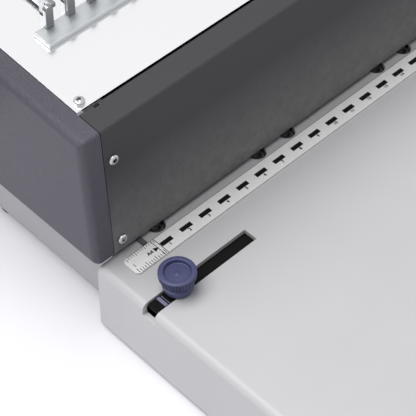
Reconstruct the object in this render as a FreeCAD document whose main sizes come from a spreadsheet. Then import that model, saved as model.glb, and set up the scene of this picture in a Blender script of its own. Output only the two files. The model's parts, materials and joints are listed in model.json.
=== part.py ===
# Comb binding machine: punches a row of rectangular holes and opens plastic binding combs.
# Millimetres. +X to the right along the row of holes, +Y to the back, +Z up, table at Z = 0.
# The origin lies on the table, below the middle hole, half way along the machine's depth.
import FreeCAD, Part
import math
import os
import re
import Sketcher

Vector = FreeCAD.Vector
AXIS_X = Vector(1, 0, 0)

# Driving dimensions: name, value, what it measures.
SIZES = [
    ("overcut", 1, "cuts run past the faces that they open"),
    ("hole_count", 21, "punched holes"),
    ("hole_pitch", 14.2875, "spacing of the holes, nine sixteenths of an inch"),
    ("foot_height", 3, "rubber feet"),
    ("foot_dia", 18, "rubber feet"),
    ("foot_round", 1, "rounding of the feet at the table"),
    ("foot_inset", 9.4, "foot centre from the chassis side"),
    ("foot_rear_y", 131.6, "rear and front feet from the middle"),
    ("foot_middle_y", 40, "middle feet from the middle"),
    ("tray_over", 11, "front tray past each side of the chassis"),
    ("tray_reach", 201.5, "front tray ahead of the front cover"),
    ("tray_height", 45, "front tray without feet"),
    ("tray_wall", 3, "front tray wall"),
    ("tray_flare", 2.6, "spread of each tray side at the bottom"),
    ("tray_edge", 4.5, "rounding of the tray's rim"),
    ("tray_corner", 20, "rounding of the tray's front corners"),
    ("tray_lap", 2, "tray behind the front cover's face"),
    ("boss_dia", 9, "screw bosses in the tray"),
    ("boss_x", 120, "screw bosses from the middle"),
    ("boss_front", 26, "front bosses from the tray's front"),
    ("boss_rear", 72, "rear bosses from the tray's rear edge"),
    ("slot_y", 38.6, "guide slot ahead of the cover's face"),
    ("slot_width", 9.1, "guide slot"),
    ("slot_end", 106.7, "inner end of the guide slot from the middle"),
    ("slot_drop", 7.5, "depth of the slot's mouth in the tray's side"),
    ("notch_radius", 5.2, "half-round notches over the die screws"),
    ("notch_inner", 38.1, "first die screw from the middle"),
    ("notch_middle", 61.5, "second die screw from the middle"),
    ("notch_outer", 138.7, "third die screw from the middle"),
    ("base_sheet", 1.5, "bottom plate"),
    ("base_gap", 1, "bottom plate from the tray's wall"),
    ("housing_depth", 151.5, "housing behind the cover's face"),
    ("cover_height", 92.8, "front cover"),
    ("throat_gap", 2.4, "paper throat under the front cover"),
    ("top_slope", 4.7, "rise of the housing's top to the rear, degrees"),
    ("flange_depth", 16.3, "front cover's top flange"),
    ("flange_gap", 1.7, "gap between the flange and the top plate"),
    ("cover_sheet", 1.2, "front and rear covers"),
    ("cover_lip", 6, "folded lip at the cover's lower edge"),
    ("cover_bend", 1.8, "outer radius of the cover's bends"),
    ("flange_notch_x", 159.4, "notch in the flange from the middle, to the left"),
    ("flange_notch_width", 3.3, "notch in the flange"),
    ("flange_notch_depth", 1.7, "notch in the flange"),
    ("core_width", 340, "chassis across its side plates"),
    ("seam", 0.15, "joint between a cover and an end cap"),
    ("cap_depth", 12.9, "end cap outside the chassis"),
    ("cap_wall", 2.5, "end cap wall"),
    ("cap_edge", 4.5, "rounding of the end caps"),
    ("cap_corner", 2.2, "rounding of the end caps' front and rear corners"),
    ("cap_boss_dia", 8, "screw bosses in the end caps"),
    ("cap_boss_inset", 15, "cap bosses from the cap's edges"),
    ("cap_play", 0.5, "play around the shafts in the end caps"),
    ("plate_thick", 4, "side plates"),
    ("tab_width", 12, "side plate tabs that carry the covers"),
    ("tab_thick", 2.5, "side plate tabs"),
    ("tab_run", 48, "top tab behind the flange gap"),
    ("rear_flange", 10, "rear cover's top flange"),
    ("rear_gap", 1.2, "top plate from the rear cover's flange"),
    ("tab_gap", 1, "tabs from the sheets across their ends"),
    ("top_sheet", 1.5, "polished top plate"),
    ("pin_setback", 25, "row of pins behind the cover's face"),
    ("pin_width", 8, "punched hole along the row"),
    ("pin_depth", 3, "punched hole across the row"),
    ("pin_fit", 0.1, "play around each pin"),
    ("pin_head", 1.2, "overhang of a pin's head"),
    ("pin_head_height", 3, "head of a pin"),
    ("pin_rest", 0.6, "pin tips above the throat at rest"),
    ("punch_stroke", 8.5, "travel of the punch beam"),
    ("lever_swing", 75, "swing of the punch lever, degrees"),
    ("die_thick", 12, "die block"),
    ("die_back", 14, "die block behind the row of pins"),
    ("die_step", 7, "ledge of the die block below its top"),
    ("die_ledge", 8.3, "ledge ahead of the die block"),
    ("die_gap", 0.3, "die block behind the tray's rear edge"),
    ("rail_height", 12, "cross rail under the die"),
    ("rail_depth", 14, "cross rail under the die"),
    ("die_throat", 2.6, "throat between die and stripper"),
    ("spacer_width", 7, "throat spacers"),
    ("stripper_thick", 10, "stripper plate"),
    ("stripper_front", 16, "stripper ahead of the row of pins"),
    ("stop_setback", 4.6, "back stop behind the row of pins"),
    ("stop_depth", 3.4, "back stop"),
    ("stop_length", 300, "back stop"),
    ("beam_clear", 9.4, "pin retainer above the stripper at rest"),
    ("retainer_thick", 4, "pin retainer"),
    ("beam_height", 18, "punch beam"),
    ("beam_depth", 16, "punch beam"),
    ("beam_play", 3, "punch beam's ends from the side plates"),
    ("ear_length", 13.5, "beam ears over the return springs"),
    ("ear_height", 8, "beam ears over the return springs"),
    ("rod_dia", 8, "guide rods"),
    ("rod_inset", 10, "guide rods from the side plates"),
    ("rod_over", 5, "guide rods above the beam"),
    ("slide_fit", 0.05, "running clearance of rods and shafts"),
    ("spring_wire", 1.2, "return springs"),
    ("spring_dia", 11, "return springs at the middle of the wire"),
    ("spring_turns", 5, "return springs"),
    ("pad_height", 3, "cam pads on the beam"),
    ("pad_over", 1, "cam pads past their cams"),
    ("cam_x", 110, "cams from the middle"),
    ("cam_width", 12, "cams"),
    ("cam_reach", 1.9, "involute roll of the cam at rest, radians"),
    ("cam_gap", 0.15, "cam above its pad"),
    ("cam_hub", 11, "radius of the cams around the shaft"),
    ("cam_heel", -80, "start of the cams' round back, degrees"),
    ("cam_back", 20, "middle of the cams' round back, degrees"),
    ("cam_crown", 110, "end of the cams' round back, degrees"),
    ("shaft_dia", 14, "main shaft"),
    ("bush_wall", 3, "shaft bushes"),
    ("bush_flange", 3, "overhang of a bush's flange"),
    ("bush_rim", 2, "thickness of a bush's flange"),
    ("shaft_tail", 2, "shafts past the far side plate"),
    ("hub_gap", 1.3, "lever hubs from the end caps"),
    ("hub_width", 20, "lever hubs"),
    ("hub_dia", 46, "punch lever hub"),
    ("hub_collar", 12, "sockets of the arms past their hubs"),
    ("hub_wall", 2.5, "sockets round the arms"),
    ("arm_dia", 14, "punch lever arm"),
    ("arm_length", 255, "punch lever arm from the shaft"),
    ("arm_seat", 13, "start of a lever arm from its shaft"),
    ("arm_lean", 15, "punch lever behind upright at rest, degrees"),
    ("grip_dia", 30, "punch lever grip"),
    ("grip_length", 115, "punch lever grip"),
    ("grip_cap", 8, "grip past the end of its arm"),
    ("grip_round", 7, "rounding of the grips"),
    ("cap_screw_dia", 18, "button screws on the lever hubs"),
    ("cap_screw_height", 3.3, "button screws on the lever hubs"),
    ("cap_screw_round", 2.6, "rounding of the button screws"),
    ("finger_u", 70, "comb fingers behind the cover's face"),
    ("finger_width", 5, "comb fingers"),
    ("finger_depth", 3, "comb fingers"),
    ("finger_round", 2.4, "rounding of the finger tips"),
    ("finger_height", 14.5, "comb fingers above their bar"),
    ("bar_depth", 13, "bar of the comb fingers"),
    ("bar_height", 2.5, "bar of the comb fingers"),
    ("bar_over", 9, "bar past the outer fingers"),
    ("hook_offset", 5.7, "hooks beside the comb fingers"),
    ("hook_width", 3, "hooks"),
    ("hook_shank", 5, "hooks"),
    ("hook_height", 13, "hooks above the top plate"),
    ("hook_nose", 6, "nose of a hook ahead of its shank"),
    ("hook_nose_height", 3, "nose of a hook"),
    ("hook_gap", 7, "hook shanks behind the comb fingers"),
    ("hook_play", 0.6, "play around a hook in its slot"),
    ("opener_stroke", 24, "travel of the hooks"),
    ("opener_swing", 60, "swing of the opener lever, degrees"),
    ("slide_thick", 2, "hook slide"),
    ("slide_depth", 40, "hook slide"),
    ("slide_drop", 4, "hook slide below the top"),
    ("slide_play", 0.2, "play of the hook slide in its rails"),
    ("slide_bite", 2, "hook slide inside its rails"),
    ("slide_rail", 6, "rails of the hook slide"),
    ("slide_rail_height", 8.5, "rails of the hook slide"),
    ("fork_width", 10, "forks under the hook slide"),
    ("fork_prong", 5, "forks under the hook slide"),
    ("fork_height", 15, "forks under the hook slide"),
    ("fork_web", 2, "forks under the hook slide"),
    ("fork_head", 1, "crank pin from the root of its fork"),
    ("fork_play", 0.5, "play of a crank pin in its fork"),
    ("crank_x", 94, "opener cranks from the middle"),
    ("crank_thick", 6, "opener cranks"),
    ("crank_pin", 6, "crank pins"),
    ("crank_boss", 21.6, "opener cranks round their shaft"),
    ("crank_tip", 12, "opener cranks round their pins"),
    ("crank_gap", 0.8, "cranks from their forks"),
    ("opener_shaft_dia", 12, "opener shaft"),
    ("opener_hub_dia", 38, "opener lever hub"),
    ("opener_arm_dia", 12, "opener lever arm"),
    ("opener_arm_length", 180, "opener lever arm from the shaft"),
    ("opener_lean", 20, "opener lever ahead of upright at rest, degrees"),
    ("opener_grip_dia", 26, "opener lever grip"),
    ("opener_grip_length", 90, "opener lever grip"),
    ("drawer_width", 28, "waste drawer"),
    ("drawer_height", 28, "waste drawer"),
    ("drawer_wall", 1.8, "waste drawer"),
    ("drawer_play", 0.3, "play around the waste drawer"),
    ("drawer_end", 158, "inner end of the waste drawer from the middle"),
    ("drawer_face", 3, "front of the waste drawer"),
    ("drawer_lip", 5, "drawer front past the opening"),
    ("pull_depth", 8, "finger pull of the drawer"),
    ("pull_height", 3, "finger pull of the drawer"),
    ("strip_length", 338.8, "scale strip"),
    ("strip_width", 13.1, "scale strip"),
    ("strip_front", 17.8, "scale strip's front edge ahead of the cover's face"),
    ("strip_sheet", 0.6, "scale strip"),
    ("strip_lift", 0.5, "scale strip above the tray"),
    ("strip_rib", 1, "ribs under the scale strip"),
    ("strip_corner", 3, "corners of the scale strip"),
    ("knob_x", 159.7, "edge guide knob from the middle, to the left"),
    ("knob_dia", 20.7, "edge guide knob at its rim"),
    ("knob_waist", 16.4, "edge guide knob below its flutes"),
    ("knob_height", 14.6, "edge guide knob above the tray"),
    ("knob_foot", 15.2, "edge guide knob at its foot"),
    ("knob_ring", 17, "ring round the knob's foot"),
    ("knob_ring_low", 2.6, "ring above the tray"),
    ("knob_ring_high", 4.8, "ring above the tray"),
    ("knob_flute", 6.9, "start of the flutes above the tray"),
    ("knob_rim", 10.9, "start of the rim above the tray"),
    ("knob_bevel", 0.9, "bevels of the knob"),
    ("flute_count", 36, "flutes round the knob"),
    ("flute_dia", 1.3, "flutes round the knob"),
    ("knob_dish", 15, "dished top of the knob"),
    ("knob_dish_depth", 2.4, "dished top of the knob"),
    ("knob_crown", 0.3, "middle of the dish above its edge"),
    ("knob_gap", 0.4, "knob above the tray"),
    ("stud_dia", 6, "stud of the knob"),
    ("stud_tail", 2, "stud of the knob below the carriage"),
    ("carriage_neck", 8.5, "guide carriage in its slot"),
    ("carriage_sink", 1.6, "carriage neck below the tray's top"),
    ("carriage_width", 18, "guide carriage under the tray"),
    ("carriage_thick", 4, "guide carriage under the tray"),
    ("carriage_gap", 0.4, "guide carriage below the tray's top wall"),
    ("carriage_left", 177.5, "left end of the carriage's neck"),
    ("carriage_foot", 168, "left end of the carriage's plate"),
    ("neck_end", 148, "right end of the carriage's neck"),
    ("carriage_right", 58, "right end of the carriage's plate"),
    ("index_x", 171.2, "index bar from the middle, to the left"),
    ("index_width", 2, "index bar"),
    ("index_length", 7.2, "index bar"),
    ("index_height", 0.8, "index bar"),
    ("stop_x", 152.35, "edge stop from the middle, to the left"),
    ("stop_width", 2.9, "edge stop"),
    ("stop_riser", 2.5, "edge stop's riser through the tray"),
    ("stop_riser_y", 13, "edge stop's riser ahead of the cover's face"),
    ("stop_blade", 0.4, "edge stop where it passes under the strip"),
    ("stop_height", 1.6, "edge stop in the throat"),
    ("stop_lift", 0.08, "edge stop above the tray"),
    ("stop_end", 3.5, "edge stop's end ahead of the row of pins"),
    ("arm_strip", 2, "arm of the edge stop under the tray"),
    ("slit_play", 0.4, "play of the riser in its slit"),
    ("guide_back", 4, "travel of the edge guide to the left"),
    ("guide_ahead", 40, "travel of the edge guide to the right"),
    ("screw_dia", 3.5, "cover screws"),
    ("screw_head", 6, "cover screw heads"),
    ("screw_head_height", 2.2, "cover screw heads"),
    ("screw_round", 1, "rounding of the cover screw heads"),
    ("screw_length", 6, "cover screws under their heads"),
    ("screw_fit", 0.1, "play around a screw"),
    ("screw_tilt", 1, "play around the top plate's screws in the upright holes of the tabs"),
    ("cover_screw_inset", 5.5, "cover screws from the chassis side"),
    ("cover_screw_low", 10.2, "lower cover screws above the cover's edge"),
    ("cover_screw_high", 71.1, "upper cover screws above the cover's edge"),
    ("top_screw_gap", 0.05, "top plate screws from the side plates"),
    ("top_screw_front", 4.5, "front screws behind the top plate's front edge"),
    ("top_screw_rear", 6, "rear screws from the top plate's rear edge"),
    ("die_screw_dia", 5, "die screws"),
    ("die_screw_head", 8.6, "die screw heads"),
    ("die_screw_head_height", 5, "die screw heads"),
    ("die_screw_length", 14, "die screws under their heads"),
    ("die_socket_dia", 4.5, "sockets of the die screws"),
    ("die_socket_depth", 2.5, "sockets of the die screws"),
]

# Places worked out from the driving dimensions.
PLACES = {
    "depth": "tray_reach + housing_depth",
    "front_y": "-depth/2",
    "rear_y": "depth/2",
    "cover_y": "tray_reach - depth/2",
    "lip_y": "cover_y + tray_lap",
    "tray_top": "foot_height + tray_height",
    "tray_under": "tray_top - tray_wall",
    "base_top": "foot_height + base_sheet",
    "throat_top": "tray_top + throat_gap",
    "cover_top": "throat_top + cover_height",
    "rise": "tan(top_slope)",
    "core": "core_width/2",
    "tray_width": "core_width + 2*tray_over",
    "core_inside": "core - plate_thick",
    "top_screw_inset": "plate_thick + top_screw_gap + screw_dia/2",
    "cap_side": "core + seam + cap_depth",
    "chassis_front": "lip_y + 2*die_gap",
    "chassis_rear": "rear_y - cover_sheet",
    "slot_mid": "cover_y - slot_y",
    "pin_y": "cover_y + pin_setback",
    "row_half": "hole_pitch*(hole_count - 1)/2",
    "die_front": "lip_y + die_gap",
    "die_rear": "pin_y + die_back",
    "die_under": "tray_top - die_thick",
    "ledge_top": "tray_top - die_step",
    "stripper_under": "tray_top + die_throat",
    "stripper_top": "stripper_under + stripper_thick",
    "retainer_under": "stripper_top + beam_clear",
    "beam_under": "retainer_under + retainer_thick",
    "beam_top": "beam_under + beam_height",
    "ear_under": "beam_top - ear_height",
    "beam_half": "core_inside - beam_play",
    "pad_top": "beam_top + pad_height",
    "rod_x": "core_inside - rod_inset",
    "pin_tip": "stripper_under + pin_rest",
    "swing_radians": "lever_swing*pi/180",
    "cam_base": "punch_stroke/swing_radians",
    "shaft_z": "pad_top + cam_gap + cam_base*cam_reach",
    "bush_dia": "shaft_dia + 2*bush_wall",
    "hub_inside": "cap_side + hub_gap",
    "hub_outside": "hub_inside + hub_width",
    "top_front": "flange_depth + flange_gap",
    "rear_flange_u": "housing_depth/cos(top_slope) - rear_flange",
    "top_rear": "rear_flange_u - rear_gap",
    "hook_u": "finger_u + finger_depth + hook_gap",
    "slide_top": "-slide_drop",
    "slide_under": "-slide_drop - slide_thick",
    "slide_half": "core_inside - slide_rail + slide_bite",
    "fork_u": "hook_u + hook_shank/2 + slide_depth/2 - opener_stroke/4",
    "crank_length": "opener_stroke/(2*sin(opener_swing/2))",
    "opener_u": "fork_u + opener_stroke/2",
    "opener_w": "slide_under - fork_web - fork_head - crank_pin/2 - crank_length",
    "opener_y": "cover_y + opener_u*cos(top_slope) - opener_w*sin(top_slope)",
    "opener_z": "cover_top + opener_u*sin(top_slope) + opener_w*cos(top_slope)",
    "opener_bush_dia": "opener_shaft_dia + 2*bush_wall",
    "fork_x": "crank_x + crank_thick + crank_gap",
    "drawer_under": "base_top + drawer_play",
    "drawer_top": "drawer_under + drawer_height",
    "strip_y": "cover_y - strip_front",
    "strip_under": "tray_top + strip_lift",
    "strip_top": "strip_under + strip_sheet",
    "strip_half": "strip_length/2",
    "riser_front": "cover_y - stop_riser_y",
    "carriage_top": "tray_under - carriage_gap",
    "carriage_under": "carriage_top - carriage_thick",
    "neck_top": "tray_top - carriage_sink",
    "arm_under": "carriage_under - arm_strip",
    "stop_under": "tray_top + stop_lift",
    "stop_left": "-stop_x - stop_width/2",
    "stop_right": "-stop_x + stop_width/2",
    "slit_left": "stop_left - guide_back - slit_play",
    "slit_right": "stop_right + guide_ahead + slit_play",
    "inner_half": "tray_width/2 - tray_wall",
    "inner_front": "front_y + tray_wall",
    "inner_chamfer": "(tray_corner - tray_wall)*(2 - sqrt(2))",
    "rear_open": "core_inside + base_gap",
}
FUNCTIONS = ("tan", "sin", "cos", "sqrt", "pi")

doc = FreeCAD.newDocument("comb_binding_machine")
dims = doc.addObject("Spreadsheet::Sheet", "dims")
for row, (name, number, meaning) in enumerate(SIZES, 1):
    dims.set(f"A{row}", meaning)
    dims.set(f"B{row}", str(number))
    dims.setAlias(f"B{row}", name)
doc.recompute()

nodes = []


def bound(text):
    """Write a length such as "tray_top - tray_wall" as an expression on the sheet's cells."""

    def word(match):
        name = match.group(0)
        if name in PLACES:
            return "(" + bound(PLACES[name]) + ")"
        return name if name in FUNCTIONS else "dims." + name

    return re.sub(r"[a-z]\w*", word, text)


def size(text):
    """The present value of a length."""
    return float(dims.evalExpression(bound(text)))


def node(label, made):
    """Name a finished sub-part, so that it is written out."""
    made.Label = label
    nodes.append(made)
    return made


def new_body(label):
    return node(label, doc.addObject("PartDesign::Body", label))


def new_sketch(body, plane, level):
    """An empty sketch parallel to one of the body's origin planes, at a level along its normal."""
    made = body.newObject("Sketcher::SketchObject", body.Label + "_sketch")
    origin = [f for f in body.Origin.OriginFeatures if f.Role == plane + "_Plane"][0]
    made.AttachmentSupport = [(origin, "")]
    made.MapMode = "FlatFace"
    made.setExpression("AttachmentOffset.Base.z", bound(level))
    return made


def pin_point(sketch, item, end, label, place):
    """Hold one point of a sketch at a place worked out from the sheet."""
    for kind, axis, text in zip(("DistanceX", "DistanceY"), "xy", place):
        index = sketch.addConstraint(Sketcher.Constraint(kind, -1, 1, item, end, size(text)))
        sketch.renameConstraint(index, f"{label}_{axis}")
        sketch.setExpression(f"Constraints.{label}_{axis}", bound(text))


def draw_outline(sketch, corners):
    """Draw a closed outline through its corners."""
    points = [Vector(size(x), size(y), 0) for x, y in corners]
    count = len(points)
    for index in range(count):
        sketch.addGeometry(Part.LineSegment(points[index], points[(index + 1) % count]))
    for index in range(count):
        sketch.addConstraint(Sketcher.Constraint("Coincident", index, 2, (index + 1) % count, 1))
    for index, corner in enumerate(corners):
        pin_point(sketch, index, 1, f"corner{index}", corner)


def draw_circles(sketch, centres, diameter):
    """Draw circles of one diameter."""
    for centre in centres:
        place = Vector(size(centre[0]), size(centre[1]), 0)
        item = sketch.addGeometry(Part.Circle(place, Vector(0, 0, 1), size(diameter) / 2))
        index = sketch.addConstraint(Sketcher.Constraint("Diameter", item, size(diameter)))
        sketch.renameConstraint(index, f"circle{item}_dia")
        sketch.setExpression(f"Constraints.circle{item}_dia", bound(diameter))
        pin_point(sketch, item, 3, f"circle{item}", centre)


def extrude(body, kind, plane, low, high, draw, *shape):
    """Add or remove a drawn shape between two levels; the XZ plane faces the front, along -Y."""
    adds = kind == "Pad"
    facing_front = plane == "XZ"
    level = low if adds != facing_front else high
    sketch = new_sketch(body, plane, f"-({level})" if facing_front else level)
    draw(sketch, *shape)
    before = body.Shape.Volume if body.Tip else 0
    feature = body.newObject("PartDesign::" + kind, f"{body.Label}_{kind.lower()}")
    feature.Profile = sketch
    feature.setExpression("Length", bound(f"({high}) - ({low})"))
    doc.recompute()
    if (body.Shape.Volume > before) != adds:
        raise ValueError(f"{body.Label}: {kind} at {low}..{high} does nothing")
    return feature


def pad(body, plane, corners, low, high):
    return extrude(body, "Pad", plane, low, high, draw_outline, corners)


def cut(body, plane, corners, low, high):
    return extrude(body, "Pocket", plane, low, high, draw_outline, corners)


def post(body, plane, centres, diameter, low, high):
    return extrude(body, "Pad", plane, low, high, draw_circles, centres, diameter)


def drill(body, plane, centres, diameter, low, high):
    return extrude(body, "Pocket", plane, low, high, draw_circles, centres, diameter)


def oblong(left, right, low, high):
    """The corners of a rectangle."""
    return [(left, low), (right, low), (right, high), (left, high)]


def across(side, inside, outside):
    """Two levels along X on the right (1) or left (-1) side, the lower one first."""
    return (inside, outside) if side > 0 else (f"-({outside})", f"-({inside})")


def repeat_along_row(body, *features, axis="H_Axis"):
    """Repeat features at every hole of the row, along an axis of the first one's sketch."""
    pattern = body.newObject("PartDesign::LinearPattern", body.Label + "_row")
    pattern.Originals = list(features)
    pattern.Direction = (features[0].Profile[0], [axis])
    pattern.setExpression("Length", bound("hole_pitch*(hole_count - 1)"))
    pattern.setExpression("Occurrences", bound("hole_count"))
    body.Tip = pattern
    doc.recompute()


def repeat_round(body, feature, count):
    """Repeat a feature in even steps round the upright axis of its sketch."""
    pattern = body.newObject("PartDesign::PolarPattern", body.Label + "_ring")
    pattern.Originals = [feature]
    pattern.Axis = (feature.Profile[0], ["N_Axis"])
    pattern.Angle = 360
    pattern.setExpression("Occurrences", bound(count))
    body.Tip = pattern
    doc.recompute()


def round_edges(body, radius, chosen):
    """Round the edges of the body that a test picks out."""
    tip = body.Tip
    names = [f"Edge{i}" for i, edge in enumerate(tip.Shape.Edges, 1) if chosen(edge)]
    fillet = body.newObject("PartDesign::Fillet", body.Label + "_rounding")
    fillet.Base = (tip, names)
    fillet.setExpression("Radius", bound(radius))
    doc.recompute()
    return fillet


def near(number, text):
    return abs(number - size(text)) < 0.01


def ends(edge):
    return [vertex.Point for vertex in edge.Vertexes]


def turn(body, corners):
    """A turned shape: radius and height of each corner, about Z."""
    sketch = new_sketch(body, "XZ", "0")
    draw_outline(sketch, corners)
    feature = body.newObject("PartDesign::Revolution", body.Label + "_turned")
    feature.Profile = sketch
    feature.ReferenceAxis = (sketch, ["V_Axis"])
    feature.Angle = 360
    doc.recompute()


def place(made, x="0", y="0", z="0", tilt=None):
    """Set a sub-part down at a point, tilted forward about X by an angle in degrees."""
    if tilt:
        made.Placement = FreeCAD.Placement(Vector(), FreeCAD.Rotation(AXIS_X, size(tilt)))
        made.setExpression("Placement.Rotation.Angle", bound(tilt))
    for axis, text in zip("xyz", (x, y, z)):
        made.setExpression(f"Placement.Base.{axis}", bound(text))
    doc.recompute()


def on_slope(body):
    """Lay a sub-part drawn flat on the sloping top: Y runs back from the cover's bend, Z off the top."""
    place(body, y="cover_y", z="cover_top", tilt="top_slope")


def group(label, solids):
    """One sub-part made of several separate solids."""
    made = doc.addObject("Part::Feature", label)
    made.Shape = Part.makeCompound(solids)
    return node(label, made)


def moved(shape, x, y, z):
    """A copy of a shape at another place."""
    made = shape.copy()
    made.translate(Vector(x, y, z))
    return made


def top_height(y, below="0"):
    """Height of the sloping top at a depth, or of a surface below it."""
    return f"cover_top + (({y}) - cover_y)*rise - ({below})/cos(top_slope)"


def on_level(edge, axis, level):
    """Whether an edge lies all at one level along an axis."""
    box = edge.BoundBox
    low, high = getattr(box, axis + "Min"), getattr(box, axis + "Max")
    return near(low, level) and near(high, level)


def pan_screws(body, plane, places, seat, outward):
    """Pan head screws: heads outward (1 or -1) from the seat along the plane's axis, shanks inward."""
    face = f"{seat} + {outward}*screw_head_height"
    end = f"{seat} - {outward}*screw_length"
    spans = ((seat, face), (end, seat)) if outward > 0 else ((face, seat), (seat, end))
    post(body, plane, places, "screw_head", *spans[0])
    axis = {"XY": "Z", "XZ": "Y", "YZ": "X"}[plane]
    round_edges(body, "screw_round", lambda edge: on_level(edge, axis, face))
    post(body, plane, places, "screw_dia", *spans[1])


# Rubber feet under the chassis and the tray
body = new_body("rubber_feet")
foot_x = ("core - foot_inset", "-(core - foot_inset)")
foot_y = ("-foot_rear_y", "foot_middle_y", "foot_rear_y")
post(body, "XY", [(x, y) for x in foot_x for y in foot_y], "foot_dia", "0", "foot_height")
round_edges(body, "foot_round", lambda edge: on_level(edge, "Z", "0"))

# Bottom plate: as wide as the tray's inside in front, and as the chassis behind
body = new_body("base_plate")
plate_half = "inner_half - base_gap"
plate_front = "inner_front + base_gap"
neck_front = "lip_y - tray_wall - base_gap/2"
right_side = [
    ("inner_half - base_gap - inner_chamfer", plate_front),
    (plate_half, f"{plate_front} + inner_chamfer"),
    (plate_half, neck_front),
    ("rear_open - base_gap/2", neck_front),
    ("rear_open - base_gap/2", "chassis_front - die_gap/2"),
    ("core", "chassis_front - die_gap/2"),
    ("core", "chassis_rear"),
]
left_side = [(f"-({x})", y) for x, y in reversed(right_side)]
pad(body, "XY", right_side + left_side, "foot_height", "base_top")
boss_rows = ("front_y + boss_front", "lip_y - boss_rear")
boss_places = [(x, y) for x in ("boss_x", "-boss_x") for y in boss_rows]
drill(body, "XY", boss_places, "screw_dia + 2*screw_fit", "foot_height - overcut", "base_top + overcut")

# Front tray: a hollow moulding with the guide slot, the slit of the edge stop and the notches
body = new_body("base_tray")
tray_side = "tray_width/2"
tray_foot = "tray_width/2 + tray_flare"
tray_section = [
    (f"-({tray_foot})", "foot_height"),
    (tray_foot, "foot_height"),
    (tray_side, "tray_top"),
    (f"-({tray_side})", "tray_top"),
]
pad(body, "XZ", tray_section, "front_y", "lip_y")


def is_front_corner(edge):
    points = ends(edge)
    return all(near(p.y, "front_y") for p in points) and abs(points[0].z - points[1].z) > 1


def is_rim(edge):
    points = ends(edge)
    at_lip = all(near(p.y, "lip_y") for p in points)
    return all(near(p.z, "tray_top") for p in points) and not at_lip


round_edges(body, "tray_corner", is_front_corner)
round_edges(body, "tray_edge", is_rim)
hollow = [
    ("-inner_half", "lip_y - tray_wall"),
    ("-inner_half", "inner_front + inner_chamfer"),
    ("-inner_half + inner_chamfer", "inner_front"),
    ("inner_half - inner_chamfer", "inner_front"),
    ("inner_half", "inner_front + inner_chamfer"),
    ("inner_half", "lip_y - tray_wall"),
]
cut(body, "XY", hollow, "foot_height - overcut", "tray_under")
rear_mouth = oblong("-rear_open", "rear_open", "foot_height - overcut", "tray_under")
cut(body, "XZ", rear_mouth, "lip_y - tray_wall - overcut", "lip_y + overcut")
guide_slot = oblong(
    f"-({tray_foot}) - overcut", "-slot_end", "slot_mid - slot_width/2", "slot_mid + slot_width/2"
)
cut(body, "XY", guide_slot, "tray_top - slot_drop", "tray_top + overcut")
stop_slit = oblong(
    "slit_left", "slit_right", "riser_front - slit_play", "riser_front + stop_riser + slit_play"
)
cut(body, "XY", stop_slit, "tray_under - overcut", "tray_top + overcut")
notch_names = ("notch_inner", "notch_middle", "notch_outer")
notches = [(sign + name, "lip_y") for name in notch_names for sign in ("", "-")]
drill(body, "XY", notches, "2*notch_radius", "tray_under - overcut", "tray_top + overcut")
post(body, "XY", boss_places, "boss_dia", "base_top", "tray_under + overcut")
drill(body, "XY", boss_places, "screw_dia", "base_top - overcut", "base_top + screw_length")

# Screws that hold the bottom plate to the tray, from below
body = new_body("base_screws")
pan_screws(body, "XY", boss_places, "foot_height", -1)

# Scale strip: a thin plate on ribs, open at the rear where the edge stop passes under it
body = new_body("scale_strip")
strip_plan = oblong("-strip_half", "strip_half", "strip_y", "strip_y + strip_width")
pad(body, "XY", strip_plan, "strip_under", "strip_top")


def is_strip_corner(edge):
    points = ends(edge)
    return abs(points[0].z - points[1].z) > 0.1


round_edges(body, "strip_corner", is_strip_corner)
strip_ribs = [
    oblong("-strip_half + strip_corner", "strip_half - strip_corner", "strip_y", "strip_y + strip_rib"),
    oblong(
        "slit_right + strip_rib",
        "strip_half - strip_corner",
        "strip_y + strip_width - strip_rib",
        "strip_y + strip_width",
    ),
]
strip_ribs.append(
    oblong(
        "-strip_half + strip_corner",
        "slit_left - strip_rib",
        "strip_y + strip_width - strip_rib",
        "strip_y + strip_width",
    )
)
for rib in strip_ribs:
    pad(body, "XY", rib, "tray_top", "strip_under")

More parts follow.
